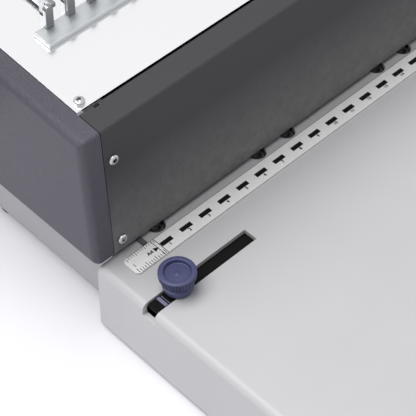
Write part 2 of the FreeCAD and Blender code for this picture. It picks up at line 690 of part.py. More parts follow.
# Side plates: webs with bent tabs that carry the covers and the top plate
for side, label in ((-1, "left_side_plate"), (1, "right_side_plate")):
    body = new_body(label)
    web = [
        ("chassis_front", "base_top"),
        ("chassis_rear", "base_top"),
        ("chassis_rear", top_height("chassis_rear", "top_sheet")),
        ("chassis_front", top_height("chassis_front", "top_sheet")),
    ]
    pad(body, "YZ", web, *across(side, "core_inside", "core"))
    tab_span = across(side, "core_inside - tab_width", "core_inside + overcut")
    tab_base = "throat_top + cover_sheet + tab_gap"
    front_tab = oblong(
        "cover_y + cover_sheet",
        "cover_y + cover_sheet + tab_thick",
        tab_base,
        top_height("cover_y + cover_sheet", "top_sheet + tab_gap"),
    )
    pad(body, "YZ", front_tab, *tab_span)
    rear_tab_top = top_height("chassis_rear", "top_sheet + tab_gap")
    rear_tab = oblong("chassis_rear - tab_thick", "chassis_rear", tab_base, rear_tab_top)
    pad(body, "YZ", rear_tab, *tab_span)
    tab_start = "cover_y + top_front*cos(top_slope)"
    tab_stop = "cover_y + (top_front + tab_run)*cos(top_slope)"
    top_tab = [
        (tab_start, top_height(tab_start, "top_sheet + tab_thick")),
        (tab_stop, top_height(tab_stop, "top_sheet + tab_thick")),
        (tab_stop, top_height(tab_stop, "top_sheet")),
        (tab_start, top_height(tab_start, "top_sheet")),
    ]
    pad(body, "YZ", top_tab, *tab_span)
    web_span = across(side, "core_inside - overcut", "core + overcut")
    drill(body, "YZ", [("pin_y", "shaft_z")], "bush_dia", *web_span)
    drill(body, "YZ", [("opener_y", "opener_z")], "opener_bush_dia", *web_span)
    cap_rows = ("cover_y + cap_boss_inset", "rear_y - cap_boss_inset")
    cap_bosses = [(y, "throat_top + cap_boss_inset") for y in cap_rows]
    cap_bosses += [(y, top_height(y, "cap_boss_inset")) for y in cap_rows]
    drill(body, "YZ", cap_bosses, "screw_dia + 2*screw_fit", *web_span)
    screw_x = f"{side}*(core - cover_screw_inset)"
    front_screws = [(screw_x, f"throat_top + cover_screw_{which}") for which in ("low", "high")]
    tab_hole = "screw_dia + 2*screw_fit"
    drill(body, "XZ", front_screws, tab_hole, "cover_y", "cover_y + screw_length + overcut")
    drill(body, "XZ", front_screws, tab_hole, "rear_y - screw_length - overcut", "rear_y")
    top_y = "cover_y + (top_front + top_screw_front)*cos(top_slope)"
    top_screw_x = f"{side}*(core - top_screw_inset)"
    tab_holes = (top_height(top_y, "top_sheet + 2*tab_thick"), top_height(top_y))
    drill(body, "XY", [(top_screw_x, top_y)], "screw_dia + screw_tilt", *tab_holes)
    if side > 0:
        drawer_mouth = oblong(
            "pin_y - drawer_width/2 - drawer_play",
            "pin_y + drawer_width/2 + drawer_play",
            "base_top - overcut",
            "drawer_top + drawer_play",
        )
        cut(body, "YZ", drawer_mouth, *web_span)

# Cross rail under the die's front ledge, between the side plates
body = new_body("cross_rail")
rail_section = oblong(
    "die_front - die_ledge", "die_front - die_ledge + rail_depth", "die_under - rail_height", "die_under"
)
pad(body, "YZ", rail_section, "-core_inside", "core_inside")
rail_span = ("die_under - rail_height - overcut", "die_under + overcut")
drill(body, "XY", notches, "die_screw_dia + 2*screw_fit", *rail_span)

# Die block with its row of holes, its front ledge counterbored for the die screws
body = new_body("die_block")
die_section = [
    ("die_front - die_ledge", "die_under"),
    ("die_rear", "die_under"),
    ("die_rear", "tray_top"),
    ("die_front", "tray_top"),
    ("die_front", "ledge_top"),
    ("die_front - die_ledge", "ledge_top"),
]
pad(body, "YZ", die_section, "-core_inside", "core_inside")
hole_left = "-row_half - pin_width/2 - pin_fit"
hole_right = "-row_half + pin_width/2 + pin_fit"
hole_front = "pin_y - pin_depth/2 - pin_fit"
hole_rear = "pin_y + pin_depth/2 + pin_fit"
pin_hole = oblong(hole_left, hole_right, hole_front, hole_rear)
first_hole = cut(body, "XY", pin_hole, "die_under - overcut", "tray_top + overcut")
repeat_along_row(body, first_hole)
drill(body, "XY", notches, "2*notch_radius", "ledge_top", "tray_top + overcut")
drill(body, "XY", notches, "die_screw_dia + 2*screw_fit", "die_under - overcut", "ledge_top + overcut")

# Socket screws that hold the die down on the cross rail
body = new_body("die_screws")
head_top = "ledge_top + die_screw_head_height"
post(body, "XY", notches, "die_screw_head", "ledge_top", head_top)
drill(body, "XY", notches, "die_socket_dia", f"{head_top} - die_socket_depth", f"{head_top} + overcut")
post(body, "XY", notches, "die_screw_dia", "ledge_top - die_screw_length", "ledge_top")

# Throat spacers, stripper plate and back stop on the die
body = new_body("throat_spacers")
for side in (-1, 1):
    spacer_span = across(side, "core_inside - spacer_width", "core_inside")
    spacer_plan = oblong(*spacer_span, "pin_y - stripper_front", "die_rear")
    pad(body, "XY", spacer_plan, "tray_top", "stripper_under")

body = new_body("stripper_plate")
stripper_plan = oblong("-core_inside", "core_inside", "pin_y - stripper_front", "die_rear")
pad(body, "XY", stripper_plan, "stripper_under", "stripper_top")
first_hole = cut(body, "XY", pin_hole, "stripper_under - overcut", "stripper_top + overcut")
repeat_along_row(body, first_hole)
rod_places = [("-rod_x", "pin_y"), ("rod_x", "pin_y")]
drill(body, "XY", rod_places, "rod_dia", "stripper_under - overcut", "stripper_top + overcut")

body = new_body("back_stop")
stop_plan = oblong(
    "-stop_length/2", "stop_length/2", "pin_y + stop_setback", "pin_y + stop_setback + stop_depth"
)
pad(body, "XY", stop_plan, "tray_top", "stripper_under")

# Guide rods of the punch beam, pressed into the stripper plate
body = new_body("guide_rods")
post(body, "XY", rod_places, "rod_dia", "stripper_under", "beam_top + rod_over")

# Punch beam with a groove for the pin heads and an ear over each return spring
body = new_body("punch_beam")
beam_front = "pin_y - beam_depth/2"
beam_rear = "pin_y + beam_depth/2"
body_half = "beam_half - ear_length"
beam_outline = [
    (f"-({body_half})", "beam_under"),
    (body_half, "beam_under"),
    (body_half, "ear_under"),
    ("beam_half", "ear_under"),
    ("beam_half", "beam_top"),
    ("-beam_half", "beam_top"),
    ("-beam_half", "ear_under"),
    (f"-({body_half})", "ear_under"),
]
pad(body, "XZ", beam_outline, beam_front, beam_rear)
head_groove = oblong(
    "pin_y - pin_depth/2 - pin_head - pin_fit",
    "pin_y + pin_depth/2 + pin_head + pin_fit",
    "beam_under - overcut",
    "beam_under + pin_head_height",
)
cut(body, "YZ", head_groove, f"-({body_half}) - overcut", f"{body_half} + overcut")
drill(body, "XY", rod_places, "rod_dia + 2*slide_fit", "ear_under - overcut", "beam_top + overcut")

# Pin retainer under the beam
body = new_body("pin_retainer")
retainer_plan = oblong(f"-({body_half})", body_half, beam_front, beam_rear)
pad(body, "XY", retainer_plan, "retainer_under", "beam_under")
first_hole = cut(body, "XY", pin_hole, "retainer_under - overcut", "beam_under + overcut")
repeat_along_row(body, first_hole)

# Punch pins: a rectangular shank with a head held between the retainer and the beam
body = new_body("punch_pins")
pin_plan = oblong(
    "-row_half - pin_width/2", "-row_half + pin_width/2", "pin_y - pin_depth/2", "pin_y + pin_depth/2"
)
pin_shank = pad(body, "XY", pin_plan, "pin_tip", "beam_under")
head_plan = oblong(
    "-row_half - pin_width/2 - pin_head",
    "-row_half + pin_width/2 + pin_head",
    "pin_y - pin_depth/2 - pin_head",
    "pin_y + pin_depth/2 + pin_head",
)
pin_top = pad(body, "XY", head_plan, "beam_under", "beam_under + pin_head_height")
repeat_along_row(body, pin_shank, pin_top)

# Hardened pads on the beam, under the cams
body = new_body("cam_pads")
for side in (-1, 1):
    pad_span = across(side, "cam_x - cam_width/2 - pad_over", "cam_x + cam_width/2 + pad_over")
    pad(body, "XY", oblong(*pad_span, beam_front, beam_rear), "beam_top", "pad_top")

# Return springs round the guide rods, between the stripper plate and the beam's ears
wire = size("spring_wire")
spring_height = size("ear_under - stripper_top") - wire
coil_radius = size("spring_dia") / 2
points_per_turn = 16
point_count = int(points_per_turn * size("spring_turns"))


def on_coil(index):
    """Point of the wire's middle line, counted along the coil."""
    angle = 2 * math.pi * index / points_per_turn
    height = spring_height * index / point_count
    return Vector(coil_radius * math.cos(angle), coil_radius * math.sin(angle), height)


middle_line = Part.BSplineCurve()
middle_line.interpolate([on_coil(index) for index in range(point_count + 1)])
section = Part.Wire(Part.makeCircle(wire / 2, on_coil(0), Vector(0, 1, 0)))
spring = Part.Wire(middle_line.toShape()).makePipeShell([section], True, False)
spring_base = size("stripper_top") + wire / 2
group("return_springs", [moved(spring, size(x), size(y), spring_base) for x, y in rod_places])


# Bushes of both shafts, their flanges against the side plates' inner faces
for label, shaft, outer, y, z in (
    ("main_bushes", "shaft_dia", "bush_dia", "pin_y", "shaft_z"),
    ("opener_bushes", "opener_shaft_dia", "opener_bush_dia", "opener_y", "opener_z"),
):
    body = new_body(label)
    for side in (-1, 1):
        post(body, "YZ", [(y, z)], outer, *across(side, "core_inside", "core"))
        rim = across(side, "core_inside - bush_rim", "core_inside")
        post(body, "YZ", [(y, z)], f"{outer} + 2*bush_flange", *rim)
        whole = across(side, "core_inside - bush_rim - overcut", "core + overcut")
        drill(body, "YZ", [(y, z)], f"{shaft} + 2*slide_fit", *whole)

# Main shaft across the chassis, out to the punch lever on the right
body = new_body("main_shaft")
post(body, "YZ", [("pin_y", "shaft_z")], "shaft_dia", "-core - shaft_tail", "hub_outside")

# Cams: an involute flank lowers the beam by equal steps as the shaft turns
base, reach, swing = size("cam_base"), size("cam_reach"), size("swing_radians")


def flank(angle):
    """Point of the involute whose string has turned by an angle from its place at rest."""
    string = reach - angle
    along = -math.cos(angle) + string * math.sin(angle)
    up = -math.sin(angle) - string * math.cos(angle)
    return Vector(0, base * along, base * up)


steps = 24
spare = 0.1
angles = [spare - (swing + spare) * step / steps for step in range(steps + 1)]
involute = Part.BSplineCurve()
involute.interpolate([flank(angle) for angle in angles])


def on_hub(name):
    angle = math.radians(size(name))
    return Vector(0, size("cam_hub") * math.cos(angle), size("cam_hub") * math.sin(angle))


hub_low, hub_side, hub_high = on_hub("cam_heel"), on_hub("cam_back"), on_hub("cam_crown")
cam_edges = [
    involute.toShape(),
    Part.LineSegment(flank(angles[-1]), hub_high).toShape(),
    Part.Arc(hub_high, hub_side, hub_low).toShape(),
    Part.LineSegment(hub_low, flank(angles[0])).toShape(),
]
cam_face = Part.Face(Part.Wire(Part.__sortEdges__(cam_edges)))
cam = cam_face.extrude(Vector(size("cam_width"), 0, 0))
cam = cam.cut(Part.makeCylinder(size("shaft_dia/2"), size("cam_width"), Vector(), AXIS_X))
cam_starts = [size("cam_x - cam_width/2"), size("-cam_x - cam_width/2")]
group("cams", [moved(cam, x, size("pin_y"), size("shaft_z")) for x in cam_starts])


def lever(prefix, side, hub_dia, shaft_dia, arm_dia, arm_length, grip_dia, grip_length, y, z, tilt):
    """A hand lever: hub on the shaft, tube arm and moulded grip, tilted about its shaft."""
    hub_low, hub_high = across(side, "hub_inside", "hub_outside")
    arm_x = f"{side}*(hub_inside + hub_width/2)"
    body = new_body(prefix + "_hub")
    post(body, "YZ", [("0", "0")], hub_dia, hub_low, hub_high)
    socket_end = f"{hub_dia}/2 + hub_collar"
    post(body, "XY", [(arm_x, "0")], f"{arm_dia} + 2*hub_wall", "arm_seat", socket_end)
    drill(body, "YZ", [("0", "0")], shaft_dia, f"{hub_low} - overcut", f"{hub_high} + overcut")
    drill(body, "XY", [(arm_x, "0")], arm_dia, "arm_seat", f"{socket_end} + overcut")
    place(body, y=y, z=z, tilt=tilt)

    body = new_body(prefix + "_arm")
    post(body, "XY", [(arm_x, "0")], arm_dia, "arm_seat", arm_length)
    place(body, y=y, z=z, tilt=tilt)

    body = new_body(prefix + "_grip")
    grip_start = f"{arm_length} + grip_cap - {grip_length}"
    post(body, "XY", [(arm_x, "0")], grip_dia, grip_start, f"{arm_length} + grip_cap")
    round_edges(body, "grip_round", lambda edge: len(edge.Vertexes) == 1)
    drill(body, "XY", [(arm_x, "0")], arm_dia, f"{grip_start} - overcut", arm_length)
    place(body, y=y, z=z, tilt=tilt)

    body = new_body(prefix + "_hub_screw")
    head = across(side, "hub_outside", "hub_outside + cap_screw_height")
    post(body, "YZ", [("0", "0")], "cap_screw_dia", *head)
    outside = size("hub_outside + cap_screw_height")
    round_edges(body, "cap_screw_round", lambda edge: abs(abs(edge.BoundBox.XMin) - outside) < 0.01
                and len(edge.Vertexes) == 1)
    place(body, y=y, z=z, tilt=tilt)


# Punch lever on the right
lever(
    "punch_lever",
    1,
    "hub_dia",
    "shaft_dia",
    "arm_dia",
    "arm_length",
    "grip_dia",
    "grip_length",
    "pin_y",
    "shaft_z",
    "-arm_lean",
)

# Opener shaft across the chassis, out to the opener lever on the left
body = new_body("opener_shaft")
opener_ends = ("-hub_outside", "core + shaft_tail")
post(body, "YZ", [("opener_y", "opener_z")], "opener_shaft_dia", *opener_ends)
lever(
    "opener_lever",
    -1,
    "opener_hub_dia",
    "opener_shaft_dia",
    "opener_arm_dia",
    "opener_arm_length",
    "opener_grip_dia",
    "opener_grip_length",
    "opener_y",
    "opener_z",
    "opener_lean",
)

# Cranks on the opener shaft, each with a pin that works in a fork of the hook slide
crank_axis = [("0", "0")]
crank_end = [("0", "crank_length")]
crank_arm = oblong("-crank_tip/2", "crank_tip/2", "0", "crank_length")
crank_tilt = "top_slope + opener_swing/2"
body = new_body("opener_cranks")
for side in (-1, 1):
    span = across(side, "crank_x", "crank_x + crank_thick")
    post(body, "YZ", crank_axis, "crank_boss", *span)
    pad(body, "YZ", crank_arm, *span)
    post(body, "YZ", crank_end, "crank_tip", *span)
    whole = across(side, "crank_x - overcut", "crank_x + crank_thick + overcut")
    drill(body, "YZ", crank_axis, "opener_shaft_dia", *whole)
    drill(body, "YZ", crank_end, "crank_pin", *whole)
place(body, y="opener_y", z="opener_z", tilt=crank_tilt)
body = new_body("crank_pins")
for side in (-1, 1):
    post(body, "YZ", crank_end, "crank_pin", *across(side, "crank_x", "fork_x + fork_width"))
place(body, y="opener_y", z="opener_z", tilt=crank_tilt)

# Top plate: polished sheet on the sloping top, slotted for the hooks
body = new_body("top_plate")
top_half = "core - seam"
pad(body, "XY", oblong(f"-({top_half})", top_half, "top_front", "top_rear"), "-top_sheet", "0")
hook_left = "-row_half + hook_offset - hook_width/2 - hook_play"
hook_right = "-row_half + hook_offset + hook_width/2 + hook_play"
hook_front = "hook_u - hook_play"
hook_rear = "hook_u + hook_shank + opener_stroke + hook_play"
hook_slot = oblong(hook_left, hook_right, hook_front, hook_rear)
first_slot = cut(body, "XY", hook_slot, "-top_sheet - overcut", "overcut")
repeat_along_row(body, first_slot)
top_screw_rows = ("top_front + top_screw_front", "top_rear - top_screw_rear")
top_screws = [(f"{side}*(core - top_screw_inset)", u) for side in (-1, 1) for u in top_screw_rows]
drill(body, "XY", top_screws, "screw_dia + 2*screw_fit", "-top_sheet - overcut", "overcut")
on_slope(body)
body = new_body("top_plate_screws")
pan_screws(body, "XY", top_screws, "0", 1)
on_slope(body)

# Comb fingers: rounded tongues in a row, on a bar that is fixed to the top plate
body = new_body("finger_bar")
bar_half = "row_half + bar_over"
bar_front = "finger_u + finger_depth - bar_depth"
bar_plan = oblong(f"-({bar_half})", bar_half, bar_front, "finger_u + finger_depth")
pad(body, "XY", bar_plan, "0", "bar_height")
on_slope(body)
body = new_body("comb_fingers")
finger_top = "bar_height + finger_height"
finger_sides = ("-row_half - finger_width/2", "-row_half + finger_width/2")
tongue = pad(
    body, "XZ", oblong(*finger_sides, "bar_height", finger_top), "finger_u", "finger_u + finger_depth"
)


def is_finger_tip(edge):
    return on_level(edge, "Z", finger_top) and abs(ends(edge)[0].y - ends(edge)[1].y) > 1


tip = round_edges(body, "finger_round", is_finger_tip)
repeat_along_row(body, tongue, tip)
on_slope(body)

# Hook slide under the top plate, with its hooks and its two forks
body = new_body("hook_slide")
slide_front = "hook_u - hook_play"
slide_plan = oblong("-slide_half", "slide_half", slide_front, f"{slide_front} + slide_depth")
pad(body, "XY", slide_plan, "slide_under", "slide_top")
on_slope(body)
body = new_body("opener_hooks")
hook_outline = [
    ("hook_u", "slide_top"),
    ("hook_u + hook_shank", "slide_top"),
    ("hook_u + hook_shank", "hook_height"),
    ("hook_u - hook_nose", "hook_height"),
    ("hook_u - hook_nose", "hook_height - hook_nose_height"),
    ("hook_u", "hook_height - hook_nose_height"),
]
hook_middle = "-row_half + hook_offset"
hook_sides = (f"{hook_middle} - hook_width/2", f"{hook_middle} + hook_width/2")
first_hook = pad(body, "YZ", hook_outline, *hook_sides)
repeat_along_row(body, first_hook, axis="N_Axis")
on_slope(body)

fork_half = "crank_pin/2 + fork_play"
fork_outer = f"{fork_half} + fork_prong"
fork_foot = "slide_under - fork_height"
fork_roof = "slide_under - fork_web"
fork_outline = [
    (f"fork_u - ({fork_outer})", "slide_under"),
    (f"fork_u - ({fork_outer})", fork_foot),
    (f"fork_u - ({fork_half})", fork_foot),
    (f"fork_u - ({fork_half})", fork_roof),
    (f"fork_u + {fork_half}", fork_roof),
    (f"fork_u + {fork_half}", fork_foot),
    (f"fork_u + {fork_outer}", fork_foot),
    (f"fork_u + {fork_outer}", "slide_under"),
]
body = new_body("slide_forks")
for side in (-1, 1):
    pad(body, "YZ", fork_outline, *across(side, "fork_x", "fork_x + fork_width"))
on_slope(body)

# Rails of the hook slide on the side plates; they carry the top plate's rear half too
body = new_body("slide_rails")
rail_front = f"{slide_front} - overcut"
rail_under = "-top_sheet - slide_rail_height"
rail_section = oblong(rail_front, "top_rear", rail_under, "-top_sheet")
groove_levels = ("slide_under - slide_play", "slide_top + slide_play")
groove = oblong(f"{rail_front} - overcut", "top_rear + overcut", *groove_levels)
groove_span = ("core_inside - slide_rail - overcut", "slide_half + slide_play")
for side in (-1, 1):
    pad(body, "YZ", rail_section, *across(side, "core_inside - slide_rail", "core_inside"))
    cut(body, "YZ", groove, *across(side, *groove_span))
    rail_screw = [(f"{side}*(core - top_screw_inset)", top_screw_rows[1])]
    drill(body, "XY", rail_screw, "screw_dia", rail_under, "0")
on_slope(body)

# Front cover: folded sheet with a top flange and a lip over the throat
body = new_body("front_cover")
flange_y = "cover_y + flange_depth*cos(top_slope)"
flange_z = "cover_top + flange_depth*sin(top_slope)"
cover_section = [
    ("cover_y", "throat_top"),
    ("cover_y", "cover_top"),
    (flange_y, flange_z),
    (f"{flange_y} + cover_sheet*sin(top_slope)", f"{flange_z} - cover_sheet*cos(top_slope)"),
    ("cover_y + cover_sheet", top_height("cover_y + cover_sheet", "cover_sheet")),
    ("cover_y + cover_sheet", "throat_top + cover_sheet"),
    ("cover_y + cover_lip", "throat_top + cover_sheet"),
    ("cover_y + cover_lip", "throat_top"),
]
pad(body, "YZ", cover_section, f"-({top_half})", top_half)


def is_cover_bend(edge):
    points = ends(edge)
    bent = all(near(p.y, "cover_y") for p in points)
    return bent and abs(points[0].x - points[1].x) > 1


round_edges(body, "cover_bend", is_cover_bend)
cover_screw_x = ("core - cover_screw_inset", "-(core - cover_screw_inset)")
cover_screw_z = ("throat_top + cover_screw_low", "throat_top + cover_screw_high")
cover_screws = [(x, z) for x in cover_screw_x for z in cover_screw_z]
drill(body, "XZ", cover_screws, "screw_dia + 2*screw_fit", "cover_y - overcut", "cover_y + cover_lip")
lip_ends = "core_inside - seam"
for side in (-1, 1):
    lip_span = across(side, lip_ends, "core")
    lip_cut = oblong(*lip_span, "cover_y + cover_sheet", "cover_y + cover_lip + overcut")
    cut(body, "XY", lip_cut, "throat_top - overcut", "throat_top + cover_sheet")
flange_notch = oblong(
    "-flange_notch_x - flange_notch_width/2",
    "-flange_notch_x + flange_notch_width/2",
    f"{flange_y} - flange_notch_depth",
    f"{flange_y} + overcut",
)
cut(body, "XY", flange_notch, "cover_top - overcut", f"{flange_z} + overcut")
body = new_body("front_cover_screws")
pan_screws(body, "XZ", cover_screws, "cover_y", -1)

# Rear cover and the light grey panel below it
body = new_body("rear_cover")
rear_flange_y = "cover_y + rear_flange_u*cos(top_slope)"
rear_section = [
    ("rear_y", "throat_top"),
    ("rear_y", top_height("rear_y")),
    (rear_flange_y, top_height(rear_flange_y)),
    (rear_flange_y, top_height(rear_flange_y, "cover_sheet")),
    ("chassis_rear", top_height("chassis_rear", "cover_sheet")),
    ("chassis_rear", "throat_top"),
]
pad(body, "YZ", rear_section, f"-({top_half})", top_half)
drill(body, "XZ", cover_screws, "screw_dia + 2*screw_fit", "chassis_rear - overcut", "rear_y + overcut")
body = new_body("rear_cover_screws")
pan_screws(body, "XZ", cover_screws, "rear_y", 1)

body = new_body("lower_rear_panel")
pad(body, "YZ", oblong("chassis_rear", "rear_y", "foot_height", "tray_top"), f"-({top_half})", top_half)

# End caps: moulded shells on the side plates, each with a hole for one shaft
cap_outline = [
    ("cover_y", "throat_top"),
    ("rear_y", "throat_top"),
    ("rear_y", top_height("rear_y")),
    ("cover_y", "cover_top"),
]
cap_inside = [
    ("cover_y + cap_wall", "throat_top + cap_wall"),
    ("rear_y - cap_wall", "throat_top + cap_wall"),
    ("rear_y - cap_wall", top_height("rear_y - cap_wall", "cap_wall")),
    ("cover_y + cap_wall", top_height("cover_y + cap_wall", "cap_wall")),
]
cap_holes = {-1: ("opener_y", "opener_z", "opener_shaft_dia"), 1: ("pin_y", "shaft_z", "shaft_dia")}
for side, label in ((-1, "left_end_cap"), (1, "right_end_cap")):
    body = new_body(label)
    cap_inner = "core + seam"
    pad(body, "YZ", cap_outline, *across(side, cap_inner, "cap_side"))
    outside = side * size("cap_side")
    round_edges(body, "cap_corner", lambda edge: abs(ends(edge)[0].x - ends(edge)[1].x) > 1)
    round_edges(body, "cap_edge", lambda edge: all(abs(p.x - outside) < 0.01 for p in ends(edge)))
    cut(body, "YZ", cap_inside, *across(side, cap_inner, "cap_side - cap_wall"))
    post(body, "YZ", cap_bosses, "cap_boss_dia", *across(side, cap_inner, "cap_side - cap_wall/2"))
    drill(body, "YZ", cap_bosses, "screw_dia", *across(side, cap_inner, f"{cap_inner} + screw_length"))
    hole_y, hole_z, shaft = cap_holes[side]
    whole = across(side, "core", "cap_side + overcut")
    drill(body, "YZ", [(hole_y, hole_z)], f"{shaft} + 2*cap_play", *whole)

# Screws that hold the end caps, from inside the chassis
body = new_body("end_cap_screws")
for side in (-1, 1):
    pan_screws(body, "YZ", cap_bosses, f"{side}*core_inside", -side)

# Edge guide: carriage under the tray with a neck in the slot
body = new_body("edge_guide_carriage")
plate_plan = oblong(
    "-carriage_foot", "-carriage_right", "slot_mid - carriage_width/2", "slot_mid + carriage_width/2"
)
pad(body, "XY", plate_plan, "carriage_under", "carriage_top")
neck_plan = oblong(
    "-carriage_left", "-neck_end", "slot_mid - carriage_neck/2", "slot_mid + carriage_neck/2"
)
pad(body, "XY", neck_plan, "carriage_top - overcut", "neck_top")
stud_place = [("-knob_x", "slot_mid")]
drill(body, "XY", stud_place, "stud_dia + 4*slide_fit", "carriage_under - overcut", "neck_top + overcut")

body = new_body("edge_guide_index")
index_plan = oblong(
    "-index_x - index_width/2",
    "-index_x + index_width/2",
    "slot_mid - index_length/2",
    "slot_mid + index_length/2",
)
pad(body, "XY", index_plan, "neck_top", "neck_top + index_height")

# Edge stop: a bent strip from the carriage, up through the tray, under the scale strip to the throat
body = new_body("edge_stop")
stop_section = [
    ("slot_mid", "arm_under"),
    ("riser_front + stop_riser", "arm_under"),
    ("riser_front + stop_riser", "stop_under"),
    ("strip_y + strip_width + stop_blade", "stop_under"),
    ("pin_y - stop_end", "stop_under"),
    ("pin_y - stop_end", "stop_under + stop_height"),
    ("strip_y + strip_width + stop_blade", "stop_under + stop_height"),
    ("strip_y + strip_width + stop_blade", "stop_under + stop_blade"),
    ("riser_front", "stop_under + stop_blade"),
    ("riser_front", "carriage_under"),
    ("slot_mid", "carriage_under"),
]
pad(body, "YZ", stop_section, "stop_left", "stop_right")

# Knob and stud that clamp the edge guide
body = new_body("edge_guide_knob")
knob_section = [
    ("0", "knob_gap"),
    ("knob_foot/2", "knob_gap"),
    ("knob_foot/2", "knob_ring_low - knob_bevel/2"),
    ("knob_ring/2", "knob_ring_low"),
    ("knob_ring/2", "knob_ring_high"),
    ("knob_foot/2", "knob_ring_high + knob_bevel"),
    ("knob_waist/2", "knob_flute"),
    ("knob_dia/2", "knob_rim"),
    ("knob_dia/2", "knob_height - knob_bevel"),
    ("knob_dia/2 - knob_bevel", "knob_height"),
    ("knob_dish/2", "knob_height"),
    ("knob_dish/2 - knob_bevel", "knob_height - knob_dish_depth"),
    ("0", "knob_height - knob_dish_depth + knob_crown"),
]
turn(body, knob_section)
drill(body, "XY", [("0", "0")], "stud_dia", "knob_gap - overcut", "knob_height/2")
flute = drill(body, "XY", [("knob_dia/2", "0")], "flute_dia", "knob_flute", "knob_height - 2*knob_bevel")
repeat_round(body, flute, "flute_count")
place(body, x="-knob_x", y="slot_mid", z="tray_top")

body = new_body("knob_stud")
post(body, "XY", stud_place, "stud_dia", "carriage_under - stud_tail", "tray_top + knob_height/2")

# Waste drawer under the die, pulled out to the right
body = new_body("waste_drawer")
drawer_front = "pin_y - drawer_width/2"
drawer_rear = "pin_y + drawer_width/2"
drawer_plan = oblong("-drawer_end", "core + seam", drawer_front, drawer_rear)
pad(body, "XY", drawer_plan, "drawer_under", "drawer_top")
drawer_inside = oblong(
    "-drawer_end + drawer_wall",
    "core + seam - drawer_wall",
    f"{drawer_front} + drawer_wall",
    f"{drawer_rear} - drawer_wall",
)
cut(body, "XY", drawer_inside, "drawer_under + drawer_wall", "drawer_top + overcut")
drawer_face = oblong(
    f"{drawer_front} - drawer_lip", f"{drawer_rear} + drawer_lip", "drawer_under", "drawer_top + drawer_lip"
)
pad(body, "YZ", drawer_face, "core + seam", "core + seam + drawer_face")
pull = oblong(drawer_front, drawer_rear, "drawer_top - pull_height", "drawer_top")
pad(body, "YZ", pull, "core + seam + drawer_face", "core + seam + drawer_face + pull_depth")

# Test every object and sub-part before anything is written
doc.recompute()
for made in doc.Objects:
    if {"Invalid", "Error"} & set(made.State):
        raise ValueError(f"{made.Label} failed: {made.State}")
for made in nodes:
    if made.Shape.isNull() or not made.Shape.isValid():
        raise ValueError(f"{made.Label} has no valid shape")
os.makedirs("parts", exist_ok=True)
for made in nodes:
    made.Shape.exportStep(f"parts/{made.Label}.step")
    solids = len(made.Shape.Solids)
    print(f"{made.Label}: {solids} solids, {made.Shape.Volume:.0f} mm3")
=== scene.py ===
import json
import math

import bmesh
import bpy
from mathutils import Matrix, Vector


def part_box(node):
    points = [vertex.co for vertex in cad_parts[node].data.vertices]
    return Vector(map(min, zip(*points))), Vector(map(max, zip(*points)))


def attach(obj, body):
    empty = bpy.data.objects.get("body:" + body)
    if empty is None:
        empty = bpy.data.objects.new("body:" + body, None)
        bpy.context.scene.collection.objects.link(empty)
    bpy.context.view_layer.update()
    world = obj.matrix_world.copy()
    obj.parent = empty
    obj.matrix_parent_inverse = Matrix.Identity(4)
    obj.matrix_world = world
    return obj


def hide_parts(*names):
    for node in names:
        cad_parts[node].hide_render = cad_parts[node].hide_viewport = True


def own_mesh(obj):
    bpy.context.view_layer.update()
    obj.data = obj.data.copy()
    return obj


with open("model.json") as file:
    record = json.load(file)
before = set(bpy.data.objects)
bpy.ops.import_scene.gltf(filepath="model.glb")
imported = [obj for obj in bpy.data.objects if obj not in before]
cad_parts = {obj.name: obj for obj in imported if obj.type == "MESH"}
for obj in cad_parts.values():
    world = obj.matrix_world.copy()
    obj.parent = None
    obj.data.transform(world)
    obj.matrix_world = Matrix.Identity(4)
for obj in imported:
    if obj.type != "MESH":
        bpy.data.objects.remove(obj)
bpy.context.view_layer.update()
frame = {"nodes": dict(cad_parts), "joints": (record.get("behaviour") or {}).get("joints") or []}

# Front tray
# The front half of the base, injection moulded in light grey ABS with a fine spark-eroded grain.
# It is screwed to the bottom plate from below, and the paper lies on its flat top.
MM = 0.001
LIGHT_GREY = "#c6c6c8"
LIGHT_GREY_DEEP = "#bfbfc2"


def linear(code):
    """An sRGB hex colour as linear red, green, blue and alpha."""
    parts = [int(code[start:start + 2], 16) / 255 for start in (1, 3, 5)]
    return [c / 12.92 if c <= 0.04045 else ((c + 0.055) / 1.055) ** 2.4 for c in parts] + [1.0]


def add(tree, kind, settings, **links):
    """Add a shader node with its settings and the sockets that feed it."""
    node = tree.nodes.new("ShaderNode" + kind)
    for name, value in settings.items():
        if name in node.inputs:
            node.inputs[name].default_value = value
        else:
            setattr(node, name, value)
    for name, socket in links.items():
        tree.links.new(socket, node.inputs[name])
    return node


def start_material(name, **surface):
    """A new material; surface holds what is the same all over it."""
    material = bpy.data.materials.new(name)
    material.use_nodes = True
    tree = material.node_tree
    shader = tree.nodes["Principled BSDF"]
    for socket, value in surface.items():
        shader.inputs[socket.replace("_", " ")].default_value = value
    place = add(tree, "TexCoord", {}).outputs["Object"]
    return material, tree, shader, place


def moulded_plastic(name, colour, deep, roughness, grain_mm, relief_mm, cloud_mm=45, **surface):
    """Moulded plastic: grain from the tool all over, and a very slight cloudiness in its colour."""
    sheen_spread = 0.06
    material, tree, shader, place = start_material(name, IOR=1.53, **surface)
    cloud = add(tree, "TexNoise", {"Scale": 1000 / cloud_mm, "Detail": 2.0}, Vector=place)
    tint = add(tree, "MixRGB", {"Color1": linear(colour), "Color2": linear(deep)}, Fac=cloud.outputs["Fac"])
    tree.links.new(tint.outputs["Color"], shader.inputs["Base Color"])
    grain = add(tree, "TexNoise", {"Scale": 1000 / grain_mm, "Detail": 3.0, "Roughness": 0.6}, Vector=place)
    sheen = add(
        tree,
        "MapRange",
        {"To Min": roughness - sheen_spread, "To Max": roughness + sheen_spread},
        Value=grain.outputs["Fac"],
    )
    tree.links.new(sheen.outputs["Result"], shader.inputs["Roughness"])
    bump = add(tree, "Bump", {"Strength": 1.0, "Distance": relief_mm * MM}, Height=grain.outputs["Fac"])
    tree.links.new(bump.outputs["Normal"], shader.inputs["Normal"])
    return material


